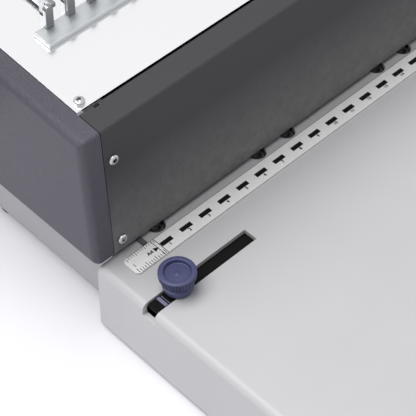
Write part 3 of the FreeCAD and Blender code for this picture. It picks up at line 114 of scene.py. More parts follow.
def eased(node, edge_mm, segments=2):
    """A copy of a construction piece whose sharp edges are eased, as a mould, press or file leaves them."""
    weld_mm = 0.002
    flat = math.radians(0.5)
    sharp_from = math.radians(35)
    bm = bmesh.new()
    bm.from_mesh(frame["nodes"][node].data)
    bmesh.ops.remove_doubles(bm, verts=bm.verts, dist=weld_mm * MM)
    bmesh.ops.dissolve_limit(bm, angle_limit=flat, verts=bm.verts, edges=bm.edges)
    sharp = [edge for edge in bm.edges if edge.is_manifold and edge.calc_face_angle() > sharp_from]
    bmesh.ops.bevel(
        bm,
        geom=sharp,
        offset=edge_mm * MM,
        offset_type="OFFSET",
        segments=segments,
        affect="EDGES",
        profile=0.5,
        material=-1,
        clamp_overlap=True,
    )
    return bm


def show(name, bm, body, material, slot, *nodes):
    """Make a piece of the finished mesh, riding on its body in place of its construction pieces."""
    crease = math.radians(50)
    mesh = bpy.data.meshes.new(name)
    bm.to_mesh(mesh)
    bm.free()
    mesh.materials.append(material)
    mesh.shade_smooth()
    mesh.set_sharp_from_angle(angle=crease)
    piece = bpy.data.objects.new(name, mesh)
    bpy.context.scene.collection.objects.link(piece)
    even = piece.modifiers.new("even_shading", "WEIGHTED_NORMAL")
    even.keep_sharp = True
    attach(piece, body)
    if nodes:
        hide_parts(*nodes)
    return piece


tray_plastic = moulded_plastic(
    "light_grey_abs", LIGHT_GREY, LIGHT_GREY_DEEP, roughness=0.46, grain_mm=0.9, relief_mm=0.02
)
show("tray", eased("base_tray", edge_mm=0.5), "chassis", tray_plastic, "light_grey_plastic", "base_tray")

# Bottom plate, side plates and lower rear panel
# Pressed steel sheet in the same light grey as the tray, stove enamelled, so it is smooth with a soft gloss
# and a faint waviness. The plates are bolted together and carry everything else.


def enamelled_steel(name, colour, deep, roughness, speck_mm, relief_mm, cloud_mm=60):
    """Painted sheet: a little orange peel or powder grain, with slightly uneven colour."""
    crown_sheen = 0.05
    valley_sheen = 0.08
    material, tree, shader, place = start_material(name, IOR=1.5)
    cloud = add(tree, "TexNoise", {"Scale": 1000 / cloud_mm, "Detail": 3.0}, Vector=place)
    tint = add(tree, "MixRGB", {"Color1": linear(colour), "Color2": linear(deep)}, Fac=cloud.outputs["Fac"])
    tree.links.new(tint.outputs["Color"], shader.inputs["Base Color"])
    speck = add(tree, "TexVoronoi", {"Scale": 1000 / speck_mm}, Vector=place)
    sheen = add(
        tree,
        "MapRange",
        {"To Min": roughness - crown_sheen, "To Max": roughness + valley_sheen},
        Value=speck.outputs["Distance"],
    )
    tree.links.new(sheen.outputs["Result"], shader.inputs["Roughness"])
    bump = add(
        tree, "Bump", {"Strength": 1.0, "Distance": relief_mm * MM}, Height=speck.outputs["Distance"]
    )
    tree.links.new(bump.outputs["Normal"], shader.inputs["Normal"])
    return material


chassis_enamel = enamelled_steel(
    "light_grey_enamel", "#b4b4b8", "#acacb1", roughness=0.42, speck_mm=1.4, relief_mm=0.008
)
for node in ("base_plate", "left_side_plate", "right_side_plate", "lower_rear_panel"):
    show(
        node + "_enamelled", eased(node, edge_mm=0.25), "chassis", chassis_enamel, "light_grey_paint", node
    )

# Rubber feet
# Moulded rubber buttons under the chassis, black and dull, held by the bottom plate.
foot_rubber = moulded_plastic(
    "black_rubber", "#1c1c1d", "#242425", roughness=0.8, grain_mm=0.7, relief_mm=0.03
)
show("feet", eased("rubber_feet", edge_mm=0.5), "chassis", foot_rubber, "rubber", "rubber_feet")

# Die, cross rail, stripper, spacers and back stop
# Ground tool steel bolted on the cross rail. It shows only as bright metal inside the paper throat.


def bare_steel(name, colour, roughness, stroke_mm, along, spread=0.08):
    """Bare metal with the fine lines of its grinding or drawing, which run along one axis."""
    line_stretch = 0.02
    relief_mm = 0.01
    material, tree, shader, place = start_material(name, Metallic=1.0, Base_Color=linear(colour))
    stretch = [1.0, 1.0, 1.0]
    stretch["XYZ".index(along)] = line_stretch
    lie = add(tree, "Mapping", {"Scale": stretch}, Vector=place)
    lines = add(tree, "TexNoise", {"Scale": 1000 / stroke_mm, "Detail": 2.0}, Vector=lie.outputs["Vector"])
    sheen = add(
        tree,
        "MapRange",
        {"To Min": roughness - spread, "To Max": roughness + spread},
        Value=lines.outputs["Fac"],
    )
    tree.links.new(sheen.outputs["Result"], shader.inputs["Roughness"])
    bump = add(tree, "Bump", {"Strength": 0.3, "Distance": relief_mm * MM}, Height=lines.outputs["Fac"])
    tree.links.new(bump.outputs["Normal"], shader.inputs["Normal"])
    return material


ground_steel = bare_steel("ground_tool_steel", "#a9abad", roughness=0.34, stroke_mm=0.8, along="X")
zinc = bare_steel("zinc_plated_steel", "#bfc2c4", roughness=0.38, stroke_mm=1.2, along="X")
for node in ("die_block", "stripper_plate"):
    show(node + "_ground", eased(node, edge_mm=0.2), "chassis", ground_steel, "tool_steel", node)
for node in ("cross_rail", "throat_spacers", "back_stop"):
    show(node + "_plated", eased(node, edge_mm=0.2), "chassis", zinc, "zinc_steel", node)

# Die screws
# Socket head screws in black oxide. Their heads show as dark half rounds in the tray's rear notches.
black_oxide = bare_steel("black_oxide", "#767679", roughness=0.5, stroke_mm=0.8, along="Z")
die_heads = eased("die_screws", edge_mm=0.35)
show("die_screws_black", die_heads, "chassis", black_oxide, "black_oxide", "die_screws")

# Scale strip
# Thin aluminium strip on ribs along the rear of the tray. Its face is lacquered a matt silver grey
# as a ground for the print, with a fine speckle that is drawn coarser than it is so that it shows.
strip_aluminium = moulded_plastic(
    "silver_lacquer", "#e4e4e5", "#ffffff", roughness=0.42, grain_mm=0.5, relief_mm=0.01, cloud_mm=0.9
)
strip = eased("scale_strip", edge_mm=0.12)
show("strip", strip, "chassis", strip_aluminium, "printed_aluminium", "scale_strip")

# Print on the scale strip, and painted shadow along its edges
# Screen-printed black ink: a block for each punched hole with its number, and the ruled left end
# with its paper mark. Thin black lines along the strip's front and rear edges are painted shadow of its
# edges, in the same ink. The ink stands a few hundredths of a millimetre off the metal.
HOLE_COUNT = 21
HOLE_PITCH = 14.2875
BLOCK_LENGTH = 8.0
BLOCK_FRONT = 5.4
BLOCK_REAR = 8.4
NUMBER_SHIFT = 0.5
NUMBER_LINE = 4.0
NUMBER_HEIGHT = 2.0
INK = 0.03
INK_PATCH = 0.8
strip_low, strip_high = [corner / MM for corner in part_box("scale_strip")]

ink, tree, shader, place = start_material("screen_ink", IOR=1.5, Roughness=0.6, Specular_IOR_Level=0.15)
patchy = add(tree, "TexNoise", {"Scale": 1000 / INK_PATCH, "Detail": 2.0}, Vector=place)
tint = add(
    tree,
    "MixRGB",
    {"Color1": linear("#080809"), "Color2": linear("#111112")},
    Fac=patchy.outputs["Fac"],
)
tree.links.new(tint.outputs["Color"], shader.inputs["Base Color"])

print_and_shadow_mesh = bmesh.new()


def print_and_shadow_shape(corners):
    """A flat shape in the ink through its corners, in millimetres along and from the front of the strip."""
    flat = [(x * MM, (strip_low.y + y) * MM, strip_high.z * MM) for x, y in corners]
    print_and_shadow_mesh.faces.new([print_and_shadow_mesh.verts.new(corner) for corner in flat])


def print_and_shadow_bar(left, right, front, rear):
    """A rectangle in the ink, for print and for the painted shadow along the strip's edges."""
    print_and_shadow_shape([(left, front), (right, front), (right, rear), (left, rear)])


def print_text(words, x, y, height):
    """Plain lettering, centred on a point and read from the front."""
    font_size = 1.4 * height
    thickening = 0.05 * height
    curve = bpy.data.curves.new("lettering", "FONT")
    curve.body = words
    curve.size = font_size * MM
    curve.offset = thickening * MM
    curve.align_x = "CENTER"
    curve.align_y = "CENTER"
    curve.resolution_u = 3
    letters = bpy.data.objects.new("lettering", curve)
    flat = bpy.data.meshes.new_from_object(letters)
    flat.transform(Matrix.Translation(Vector((x, strip_low.y + y, strip_high.z)) * MM))
    print_and_shadow_mesh.from_mesh(flat)
    bpy.data.objects.remove(letters)
    bpy.data.curves.remove(curve)
    bpy.data.meshes.remove(flat)


for hole in range(HOLE_COUNT):
    middle = HOLE_PITCH * (hole - (HOLE_COUNT - 1) / 2)
    print_and_shadow_bar(middle - BLOCK_LENGTH / 2, middle + BLOCK_LENGTH / 2, BLOCK_FRONT, BLOCK_REAR)
    print_text(str(hole + 1), middle + NUMBER_SHIFT, NUMBER_LINE, NUMBER_HEIGHT)

STRIP_DEPTH = strip_high.y - strip_low.y
TICK_COUNT = 13
INCH = 25.4
TICK_PITCH = INCH / 16
LONG_EVERY = 4
TICK_START = 2.2
TICK_MARGIN = 0.6
TICK_LONG = 3.2
TICK_SHORT = 2.0
REAR_SHARE = 0.6
LINE_HALF = 0.18
for tick in range(TICK_COUNT):
    start = strip_low.x + TICK_START + TICK_PITCH * tick
    reach = TICK_LONG if tick % LONG_EVERY == 0 else TICK_SHORT
    rear = STRIP_DEPTH - TICK_MARGIN
    print_and_shadow_bar(start - LINE_HALF, start + LINE_HALF, TICK_MARGIN, TICK_MARGIN + reach)
    print_and_shadow_bar(start - LINE_HALF, start + LINE_HALF, rear - REAR_SHARE * reach, rear)

PAPER_LENGTH = 297
PAPER_EDGE = -PAPER_LENGTH / 2
PAPER_LINES = (-0.9, 1.3)
LINE_MARGIN = 0.3
ARROW_TIP = -0.1
ARROW_LENGTH = 3.3
ARROW_LINE = 6.7
ARROW_HALF = 1.6
PAPER_MARK = -6.3
PAPER_MARK_HEIGHT = 2.3
for shift in PAPER_LINES:
    line = PAPER_EDGE + shift
    print_and_shadow_bar(line - LINE_HALF, line + LINE_HALF, LINE_MARGIN, STRIP_DEPTH - LINE_MARGIN)
tip = PAPER_EDGE + ARROW_TIP
tail = tip - ARROW_LENGTH
print_and_shadow_shape([(tail, ARROW_LINE - ARROW_HALF), (tip, ARROW_LINE), (tail, ARROW_LINE + ARROW_HALF)])
print_text("A4", PAPER_EDGE + PAPER_MARK, ARROW_LINE, PAPER_MARK_HEIGHT)

# Painted shadow: thin black lines along the front and rear edges of the strip, drawn in the ink.
EDGE_SHADOW_WIDTH = 0.22
STRIP_CORNER = 3.2
END_MARK_WIDTH = 0.4
END_MARK_LINES = (5.0, 7.2)
for edge in (0, STRIP_DEPTH - EDGE_SHADOW_WIDTH):
    print_and_shadow_bar(strip_low.x + STRIP_CORNER, strip_high.x - STRIP_CORNER, edge, edge + EDGE_SHADOW_WIDTH)
print_and_shadow_bar(strip_low.x + STRIP_CORNER - END_MARK_WIDTH, strip_low.x + STRIP_CORNER, *END_MARK_LINES)
raised = bmesh.ops.extrude_face_region(print_and_shadow_mesh, geom=print_and_shadow_mesh.faces[:])
tops = [v for v in raised["geom"] if isinstance(v, bmesh.types.BMVert)]
bmesh.ops.translate(print_and_shadow_mesh, verts=tops, vec=(0, 0, INK * MM))
bmesh.ops.recalc_face_normals(print_and_shadow_mesh, faces=print_and_shadow_mesh.faces)
show("strip_print_and_edge_shadow", print_and_shadow_mesh, "chassis", ink, "printed_aluminium")

# Front cover and rear cover
# Folded steel sheet in charcoal powder coat, a dense fine grain with a low sheen. The front cover's colour
# is painted paler in patches towards its lower edge: painted reflection of the light grey tray in front of
# it.
# Where and how strongly the front cover's colour is painted paler, as painted reflection of the tray.
REFLECTION_TOP = 114.0
REFLECTION_FOOT = 60.0
REFLECTION_PATCH = 12.0
REFLECTION_STRENGTH = 1.1


def paint_tray_reflection(material, colour):
    """Painted reflection: pale uneven patches in the colour of a painted sheet, growing towards its lower
    edge.
    """
    tree = material.node_tree
    shader = tree.nodes["Principled BSDF"]
    paint = shader.inputs["Base Color"].links[0].from_socket
    place = add(tree, "TexCoord", {}).outputs["Object"]
    height = add(tree, "SeparateXYZ", {}, Vector=place).outputs["Z"]
    reflection_fade = add(
        tree,
        "MapRange",
        {"From Min": REFLECTION_TOP * MM, "From Max": REFLECTION_FOOT * MM, "To Max": REFLECTION_STRENGTH},
        Value=height,
    )
    patch = add(
        tree, "TexNoise", {"Scale": 1000 / REFLECTION_PATCH, "Detail": 6.0, "Roughness": 0.9}, Vector=place
    )
    share = add(tree, "Math", {"operation": "MULTIPLY"})
    tree.links.new(reflection_fade.outputs["Result"], share.inputs[0])
    tree.links.new(patch.outputs["Fac"], share.inputs[1])
    tint = add(tree, "MixRGB", {"Color2": linear(colour)}, Fac=share.outputs[0], Color1=paint)
    tree.links.new(tint.outputs["Color"], shader.inputs["Base Color"])


front_coat = enamelled_steel(
    "charcoal_powder_coat_painted_reflection", "#2c2b2e", "#323134", roughness=0.34, speck_mm=0.7, relief_mm=0.05
)
# The pale patches on the lower front cover are painted reflection of the light grey tray.
paint_tray_reflection(front_coat, "#878788")
rear_coat = enamelled_steel(
    "charcoal_powder_coat", "#333235", "#39383b", roughness=0.36, speck_mm=0.7, relief_mm=0.05
)
for node, coat in (("front_cover", front_coat), ("rear_cover", rear_coat)):
    show(node + "_coated", eased(node, edge_mm=0.3), "chassis", coat, "dark_paint", node)

# End caps
# Moulded charcoal ABS shells with a leather-like tool grain and rounded outer edges, screwed to the
# side plates from inside. The grain is drawn deeper than it is so that it shows.
cap_plastic = moulded_plastic(
    "charcoal_abs", "#44414d", "#4e4b57", roughness=0.5, grain_mm=1.2, relief_mm=0.6, cloud_mm=2.4
)
for node in ("left_end_cap", "right_end_cap"):
    show(node + "_moulded", eased(node, edge_mm=0.3), "chassis", cap_plastic, "dark_plastic", node)

# Top plate
# Polished stainless sheet with faint lines along its length, laid on the sloping top and screwed
# at its corners.
polished = bare_steel(
    "polished_stainless", "#f2f2f4", roughness=0.16, stroke_mm=0.7, along="X", spread=0.04
)
plate = eased("top_plate", edge_mm=0.25)
show("top_plate_polished", plate, "chassis", polished, "polished_steel", "top_plate")

# Cover and top plate screws
# Nickel-plated pan head screws with a cross recess, bright and slightly soft at the edges.
HEAD_RADIUS = 3.0
HEAD_HEIGHT = 2.2
HEAD_ROUND = 1.1
HEAD_FOOT = 0.15
RECESS_REACH = 1.8
RECESS_WIDTH = 1.5
RECESS_DEPTH = 1.8
RECESS_TAPER = 0.55
SHANK_RADIUS = 1.75
SHANK_LENGTH = 6.0
SHANK_TIP = 0.4
nickel = bare_steel("nickel_plate", "#c2c2c4", roughness=0.1, stroke_mm=0.9, along="Z", spread=0.04)


def rounded(corners, steps=4):
    """An outline through corners, each given by its two distances and the radius that rounds it off."""
    outline = []
    for number, (across, up, radius) in enumerate(corners):
        corner = Vector((across, up))
        if radius == 0:
            outline.append(corner)
            continue
        before = (Vector(corners[number - 1][:2]) - corner).normalized()
        after = (Vector(corners[number + 1][:2]) - corner).normalized()
        half = before.angle(after) / 2
        centre = corner + (before + after).normalized() * radius / math.sin(half)
        first = corner + before * radius / math.tan(half)
        last = corner + after * radius / math.tan(half)
        for step in range(steps + 1):
            chord = first.lerp(last, step / steps)
            outline.append(centre + (chord - centre).normalized() * radius)
    return outline


def spun(profile, steps):
    """A turned shape from the radius and height of its outline, in millimetres, about Z."""
    weld_mm = 0.001
    bm = bmesh.new()
    points = [bm.verts.new((r * MM, 0, z * MM)) for r, z in profile]
    edges = [bm.edges.new(pair) for pair in zip(points, points[1:])]
    bmesh.ops.spin(
        bm,
        geom=points + edges,
        cent=(0, 0, 0),
        axis=(0, 0, 1),
        angle=2 * math.pi,
        steps=steps,
        use_merge=True,
    )
    bmesh.ops.remove_doubles(bm, verts=bm.verts, dist=weld_mm * MM)
    bmesh.ops.recalc_face_normals(bm, faces=bm.faces)
    return bm


def loose_object(bm):
    """A working object that is used up before the piece is finished."""
    mesh = bpy.data.meshes.new("working")
    bm.to_mesh(mesh)
    bm.free()
    made = bpy.data.objects.new("working", mesh)
    bpy.context.scene.collection.objects.link(made)
    return made


screw_outline = [
    (0, HEAD_HEIGHT, 0),
    (HEAD_RADIUS, HEAD_HEIGHT, HEAD_ROUND),
    (HEAD_RADIUS, 0, HEAD_FOOT),
    (SHANK_RADIUS, 0, 0),
    (SHANK_RADIUS, -SHANK_LENGTH, SHANK_TIP),
    (0, -SHANK_LENGTH, 0),
]
head = loose_object(spun(rounded(screw_outline, steps=5), steps=24))
recess = bmesh.new()
for turn in (0, math.pi / 2):
    bar = bmesh.ops.create_cube(recess, size=1.0)["verts"]
    bar_size = Vector((2 * RECESS_REACH, RECESS_WIDTH, 2 * RECESS_DEPTH)) * MM
    bmesh.ops.scale(recess, vec=bar_size, verts=bar)
    for corner in bar:
        if corner.co.z < 0:
            corner.co.x *= RECESS_TAPER
    bmesh.ops.rotate(recess, verts=bar, cent=(0, 0, 0), matrix=Matrix.Rotation(turn, 3, "Z"))
bmesh.ops.translate(recess, verts=recess.verts, vec=(0, 0, HEAD_HEIGHT * MM))
cutter = loose_object(recess)
sink = head.modifiers.new("recess", "BOOLEAN")
sink.operation = "DIFFERENCE"
sink.solver = "EXACT"
sink.use_self = True
sink.object = cutter
bpy.context.view_layer.update()
screw_mesh = bpy.data.meshes.new_from_object(head.evaluated_get(bpy.context.evaluated_depsgraph_get()))
bpy.data.objects.remove(head)
bpy.data.objects.remove(cutter)

FIRST_TURN = 0.7
NEXT_TURN = 1.9


def screws(name, node, places, slot):
    """A set of the same screw, each turned as it was left by the driver."""
    bm = bmesh.new()
    for number, seat in enumerate(places):
        one = screw_mesh.copy()
        one.transform(seat @ Matrix.Rotation(FIRST_TURN + NEXT_TURN * number, 4, "Z"))
        bm.from_mesh(one)
        bpy.data.meshes.remove(one)
    show(name, bm, "chassis", nickel, slot, node)


TOP_SCREWS = (22.5, 134.6)
TOP_BEND = 143.2
joints = {joint["name"]: joint for joint in frame["joints"]}
heads_low, heads_high = [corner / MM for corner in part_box("front_cover_screws")]
cover_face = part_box("front_cover")[0].y / MM
rear_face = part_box("rear_cover")[1].y / MM
top_screw_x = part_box("top_plate_screws")[1].x / MM - HEAD_RADIUS
slope = Vector(joints["hook_slide"]["axis"])
on_top = Matrix.Translation(Vector((0, cover_face, TOP_BEND)) * MM)
on_top = on_top @ Matrix.Rotation(math.atan2(slope.z, slope.y), 4, "X")
front_seats, rear_seats, top_seats = [], [], []
for side in (-1, 1):
    across = side * (heads_high.x - HEAD_RADIUS)
    for height in (heads_low.z + HEAD_RADIUS, heads_high.z - HEAD_RADIUS):
        front = Matrix.Translation(Vector((across, cover_face, height)) * MM)
        front_seats.append(front @ Matrix.Rotation(math.pi / 2, 4, "X"))
        rear = Matrix.Translation(Vector((across, rear_face, height)) * MM)
        rear_seats.append(rear @ Matrix.Rotation(-math.pi / 2, 4, "X"))
    for back in TOP_SCREWS:
        top_seats.append(on_top @ Matrix.Translation(Vector((side * top_screw_x, back, 0)) * MM))
screws("front_screws", "front_cover_screws", front_seats, "chrome")
screws("rear_screws", "rear_cover_screws", rear_seats, "chrome")
screws("top_screws", "top_plate_screws", top_seats, "chrome")

# Screws out of sight under the base and inside the end caps
# The same screws in plain zinc plate.
for node in ("base_screws", "end_cap_screws"):
    show(node + "_plated", eased(node, edge_mm=0.2), "chassis", zinc, "zinc_steel", node)

# Comb fingers and their bar
# Stainless tongues that stand through the comb's rings, riveted in a row to a plated bar.
satin = bare_steel("satin_stainless", "#8f9092", roughness=0.3, stroke_mm=0.6, along="Z")
for node, steel, slot in (("finger_bar", zinc, "zinc_steel"), ("comb_fingers", satin, "tool_steel")):
    show(node + "_finished", eased(node, edge_mm=0.45), "chassis", steel, slot, node)

# Hook slide, hooks and forks
# The hooks are stamped from the same sheet as the fingers and riveted to a plate under the top.
for node, steel, slot in (
    ("hook_slide", zinc, "zinc_steel"),
    ("slide_forks", zinc, "zinc_steel"),
    ("opener_hooks", satin, "tool_steel"),
):
    show(node + "_finished", eased(node, edge_mm=0.35), "hook_slide", steel, slot, node)
show("slide_rails_plated", eased("slide_rails", edge_mm=0.2), "chassis", zinc, "zinc_steel", "slide_rails")

# Punch pins, beam, retainer and cam pads
# Hardened pins in a plated beam; they ride up and down on the guide rods.
for node, steel, slot in (
    ("punch_pins", ground_steel, "tool_steel"),
    ("punch_beam", zinc, "zinc_steel"),
    ("pin_retainer", zinc, "zinc_steel"),
    ("cam_pads", zinc, "zinc_steel"),
):
    show(node + "_finished", eased(node, edge_mm=0.2), "punch_slide", steel, slot, node)

# Guide rods and return springs
# Ground rods, and springs wound from oiled wire; on the machine the beam presses them together as it comes
# down, but here they are one fixed shape on the chassis.
SPRING_TURNS = 5
SPRING_RADIUS = 5.5
WIRE_RADIUS = 0.6
TURN_STEPS = 24
WIRE_SIDES = 10
spring_low, spring_high = [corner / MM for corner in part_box("return_springs")]
SPRING_FOOT = spring_low.z
SPRING_TOP = spring_high.z
ROD_X = spring_high.x - SPRING_RADIUS - WIRE_RADIUS
PIN_LINE = (spring_low.y + spring_high.y) / 2
rods = eased("guide_rods", edge_mm=0.4)
show("guide_rods_ground", rods, "chassis", ground_steel, "tool_steel", "guide_rods")
oiled_wire = bare_steel("oiled_spring_wire", "#77787a", roughness=0.3, stroke_mm=0.5, along="Z")
coil = bmesh.new()
for side in (-1, 1):
    circle = bmesh.ops.create_circle(coil, cap_ends=True, radius=WIRE_RADIUS * MM, segments=WIRE_SIDES)
    ring = circle["verts"]
    bmesh.ops.rotate(coil, verts=ring, cent=(0, 0, 0), matrix=Matrix.Rotation(math.pi / 2, 3, "X"))
    foot = Vector((side * ROD_X, PIN_LINE, SPRING_FOOT + WIRE_RADIUS)) * MM
    bmesh.ops.translate(coil, verts=ring, vec=foot + Vector((SPRING_RADIUS * MM, 0, 0)))
    steps = SPRING_TURNS * TURN_STEPS
    rise = (SPRING_TOP - SPRING_FOOT - 2 * WIRE_RADIUS) * MM / steps
    end_face = [face for face in coil.faces if set(face.verts) == set(ring)]
    bmesh.ops.spin(
        coil,
        geom=end_face,
        cent=foot,
        axis=(0, 0, 1),
        dvec=(0, 0, rise),
        angle=2 * math.pi * SPRING_TURNS,
        steps=steps,
        use_merge=False,
    )
bmesh.ops.recalc_face_normals(coil, faces=coil.faces)
springs = show("springs", coil, "chassis", oiled_wire, "spring_steel", "return_springs")
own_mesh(springs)

# Bushes
# Oil-filled bronze bushes pressed into the side plates.
bronze = bare_steel("sintered_bronze", "#a9825a", roughness=0.42, stroke_mm=0.9, along="X")
for node in ("main_bushes", "opener_bushes"):
    show(node + "_bronze", eased(node, edge_mm=0.3), "chassis", bronze, "bronze", node)

# Shafts, cams and cranks
# Ground shafts across the chassis with keyed cams and cranks of the same steel.
for node in ("main_shaft", "cams"):
    show(node + "_ground", eased(node, edge_mm=0.4), "punch_lever", ground_steel, "tool_steel", node)
for node in ("opener_shaft", "opener_cranks", "crank_pins"):
    show(node + "_ground", eased(node, edge_mm=0.4), "opener_lever", ground_steel, "tool_steel", node)

# Lever hubs, arms and hub screws
# Black glass-filled nylon hubs on the shafts, chrome-plated tube arms pushed into their sockets, and chrome
# button screws in the ends of the shafts.
ARM_SEAT = 13
PUNCH_LEAN = -15
PUNCH_REACH = 255
OPENER_LEAN = 20
OPENER_REACH = 180
black_nylon = moulded_plastic(
    "black_nylon", "#1a1a1c", "#202022", roughness=0.48, grain_mm=1.0, relief_mm=0.03
)
chrome = bare_steel("chrome_plate", "#bfbfc2", roughness=0.1, stroke_mm=1.5, along="Z", spread=0.03)


def along_arm(lever, lean):
    """Where a lever's arm lies: its Z axis runs up the arm from the shaft."""
    low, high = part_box(lever + "_arm")
    foot = Vector(joints[lever]["pos_m"])
    foot.x = (low.x + high.x) / 2
    return Matrix.Translation(foot) @ Matrix.Rotation(math.radians(lean), 4, "X")


def arm_radius(lever):
    """The radius of a lever's arm, which lies square across the machine."""
    low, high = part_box(lever + "_arm")
    return (high.x - low.x) / 2 / MM


punch_arm = along_arm("punch_lever", PUNCH_LEAN)
opener_arm = along_arm("opener_lever", OPENER_LEAN)
for lever, lie, reach in (
    ("punch_lever", punch_arm, PUNCH_REACH),
    ("opener_lever", opener_arm, OPENER_REACH),
):
    radius = arm_radius(lever)
    arm = spun([(0, ARM_SEAT), (radius, ARM_SEAT), (radius, reach), (0, reach)], steps=48)
    bmesh.ops.transform(arm, matrix=lie, verts=arm.verts)
    show(lever + "_arm_plated", arm, lever, chrome, "chrome", lever + "_arm")
    hub = eased(lever + "_hub", edge_mm=1.0, segments=3)
    show(lever + "_hub_moulded", hub, lever, black_nylon, "black_plastic", lever + "_hub")
    screw = eased(lever + "_hub_screw", edge_mm=0.2)
    show(lever + "_screw_plated", screw, lever, chrome, "chrome", lever + "_hub_screw")

# Lever grips
# Moulded dark blue grips pushed on the arms: a swelling barrel with finger rings and a domed end.
GRIP_RINGS = 9
RING_STEPS = 4
RING_GAP = 0.08
RING_RISE = 0.045
BARREL_WAIST = 0.82
BARREL_SWELL = 0.13
SWELL_SPAN = 0.8
MOUTH_LENGTH = 9.0
MOUTH_ROUND = 1.5
DOME_LENGTH = 14.0
DOME_NECK = 8.0
DOME_FLAT = 0.45
DOME_STEPS = 8
GRIP_OVER = 8.0
BORE_PLAY = 0.05
blue_plastic = moulded_plastic(
    "dark_blue_abs", "#3f4269", "#454870", roughness=0.42, grain_mm=0.8, relief_mm=0.03
)


def grip(name, lever, lie, start, end, radius):
    """A grip from start to end along its arm, with its radius at the widest."""
    waist = radius * BARREL_WAIST
    bore = arm_radius(lever) + BORE_PLAY
    bore_end = end - GRIP_OVER + BORE_PLAY
    socket = [(0, bore_end, 0), (bore, bore_end, 0), (bore, start, 0)]
    profile = rounded(socket + [(waist, start, MOUTH_ROUND), (waist, start + MOUTH_LENGTH, 0)])
    ring_start = start + MOUTH_LENGTH
    ring_pitch = (end - DOME_LENGTH - DOME_NECK - ring_start) / GRIP_RINGS
    for ring in range(GRIP_RINGS):
        low = ring_start + ring_pitch * ring
        swell = BARREL_WAIST + BARREL_SWELL * math.sin(SWELL_SPAN * math.pi * (ring + 0.5) / GRIP_RINGS)
        for step in range(RING_STEPS + 1):
            share = RING_GAP + (1 - 2 * RING_GAP) * step / RING_STEPS
            rise = RING_RISE * math.sin(math.pi * step / RING_STEPS)
            profile.append((radius * (swell + rise), low + ring_pitch * share))
    for step in range(DOME_STEPS + 1):
        turn = math.pi / 2 * step / DOME_STEPS
        across = DOME_FLAT + (1 - DOME_FLAT) * math.cos(turn)
        profile.append((radius * across, end - DOME_LENGTH + DOME_LENGTH * math.sin(turn)))
    profile.append((0, end))
    bm = spun(profile, steps=48)
    bmesh.ops.transform(bm, matrix=lie, verts=bm.verts)
    show(name, bm, lever, blue_plastic, "blue_plastic", lever + "_grip")


PUNCH_GRIP = 115
PUNCH_GRIP_RADIUS = 15
OPENER_GRIP = 90
OPENER_GRIP_RADIUS = 13
punch_end = PUNCH_REACH + GRIP_OVER
opener_end = OPENER_REACH + GRIP_OVER
grip("punch_grip", "punch_lever", punch_arm, punch_end - PUNCH_GRIP, punch_end, PUNCH_GRIP_RADIUS)
grip("opener_grip", "opener_lever", opener_arm, opener_end - OPENER_GRIP, opener_end, OPENER_GRIP_RADIUS)

# Edge guide carriage and its stop
# Black acetal slide in the tray's slot, with a blackened steel stop that reaches under the scale
# to the throat.
black_acetal = moulded_plastic(
    "black_acetal",
    "#0c0c0d",
    "#101011",
    roughness=0.7,
    grain_mm=0.9,
    relief_mm=0.01,
    Specular_IOR_Level=0.12,
)
carriage = eased("edge_guide_carriage", edge_mm=0.3)
show("carriage", carriage, "edge_guide", black_acetal, "black_plastic", "edge_guide_carriage")
show("stop_black", eased("edge_stop", edge_mm=0.1), "edge_guide", black_oxide, "black_oxide", "edge_stop")

# Edge guide index
# A pale bar moulded into the carriage, with a fine line beside it, that is read against the slot.
pale_plastic = moulded_plastic(
    "pale_lavender_abs", "#7a7893", "#817f9a", roughness=0.45, grain_mm=0.6, relief_mm=0.01
)
index_bar = eased("edge_guide_index", edge_mm=0.2)
show("index_bar", index_bar, "edge_guide", pale_plastic, "index_plastic", "edge_guide_index")
HAIRLINE_WIDTH = 0.45
HAIRLINE_HEIGHT = 0.2
HAIRLINE_GAP = 1.3
HAIRLINE_EASE = 0.05
index_low, index_high = [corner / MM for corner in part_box("edge_guide_index")]
hairline_size = Vector((HAIRLINE_WIDTH, index_high.y - index_low.y, HAIRLINE_HEIGHT))
hairline_place = Vector((index_high.x + HAIRLINE_GAP, (index_low.y + index_high.y) / 2, 0))
hairline_place.z = index_low.z + HAIRLINE_HEIGHT / 2
hairline = bmesh.new()
bmesh.ops.create_cube(hairline, size=1.0)
bmesh.ops.scale(hairline, vec=hairline_size * MM, verts=hairline.verts)
bmesh.ops.translate(hairline, vec=hairline_place * MM, verts=hairline.verts)
bmesh.ops.bevel(
    hairline,
    geom=hairline.edges[:],
    offset=HAIRLINE_EASE * MM,
    segments=1,
    affect="EDGES",
    profile=0.5,
    material=-1,
)
show("index_hairline", hairline, "edge_guide", pale_plastic, "index_plastic")

# Edge guide knob and stud
# Moulded dark blue knob with a fluted waist, a smooth rim and a dished top with a gate mark in its middle.
# It clamps the carriage by a steel stud.
FLUTES = 36
FLUTE_STEPS = 4
FLUTE_LOW = 6.6
FLUTE_HIGH = 13.1
FLUTE_DEPTH = 1.05
DISH_RADIUS = 7.5
knob_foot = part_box("edge_guide_knob")[0].z
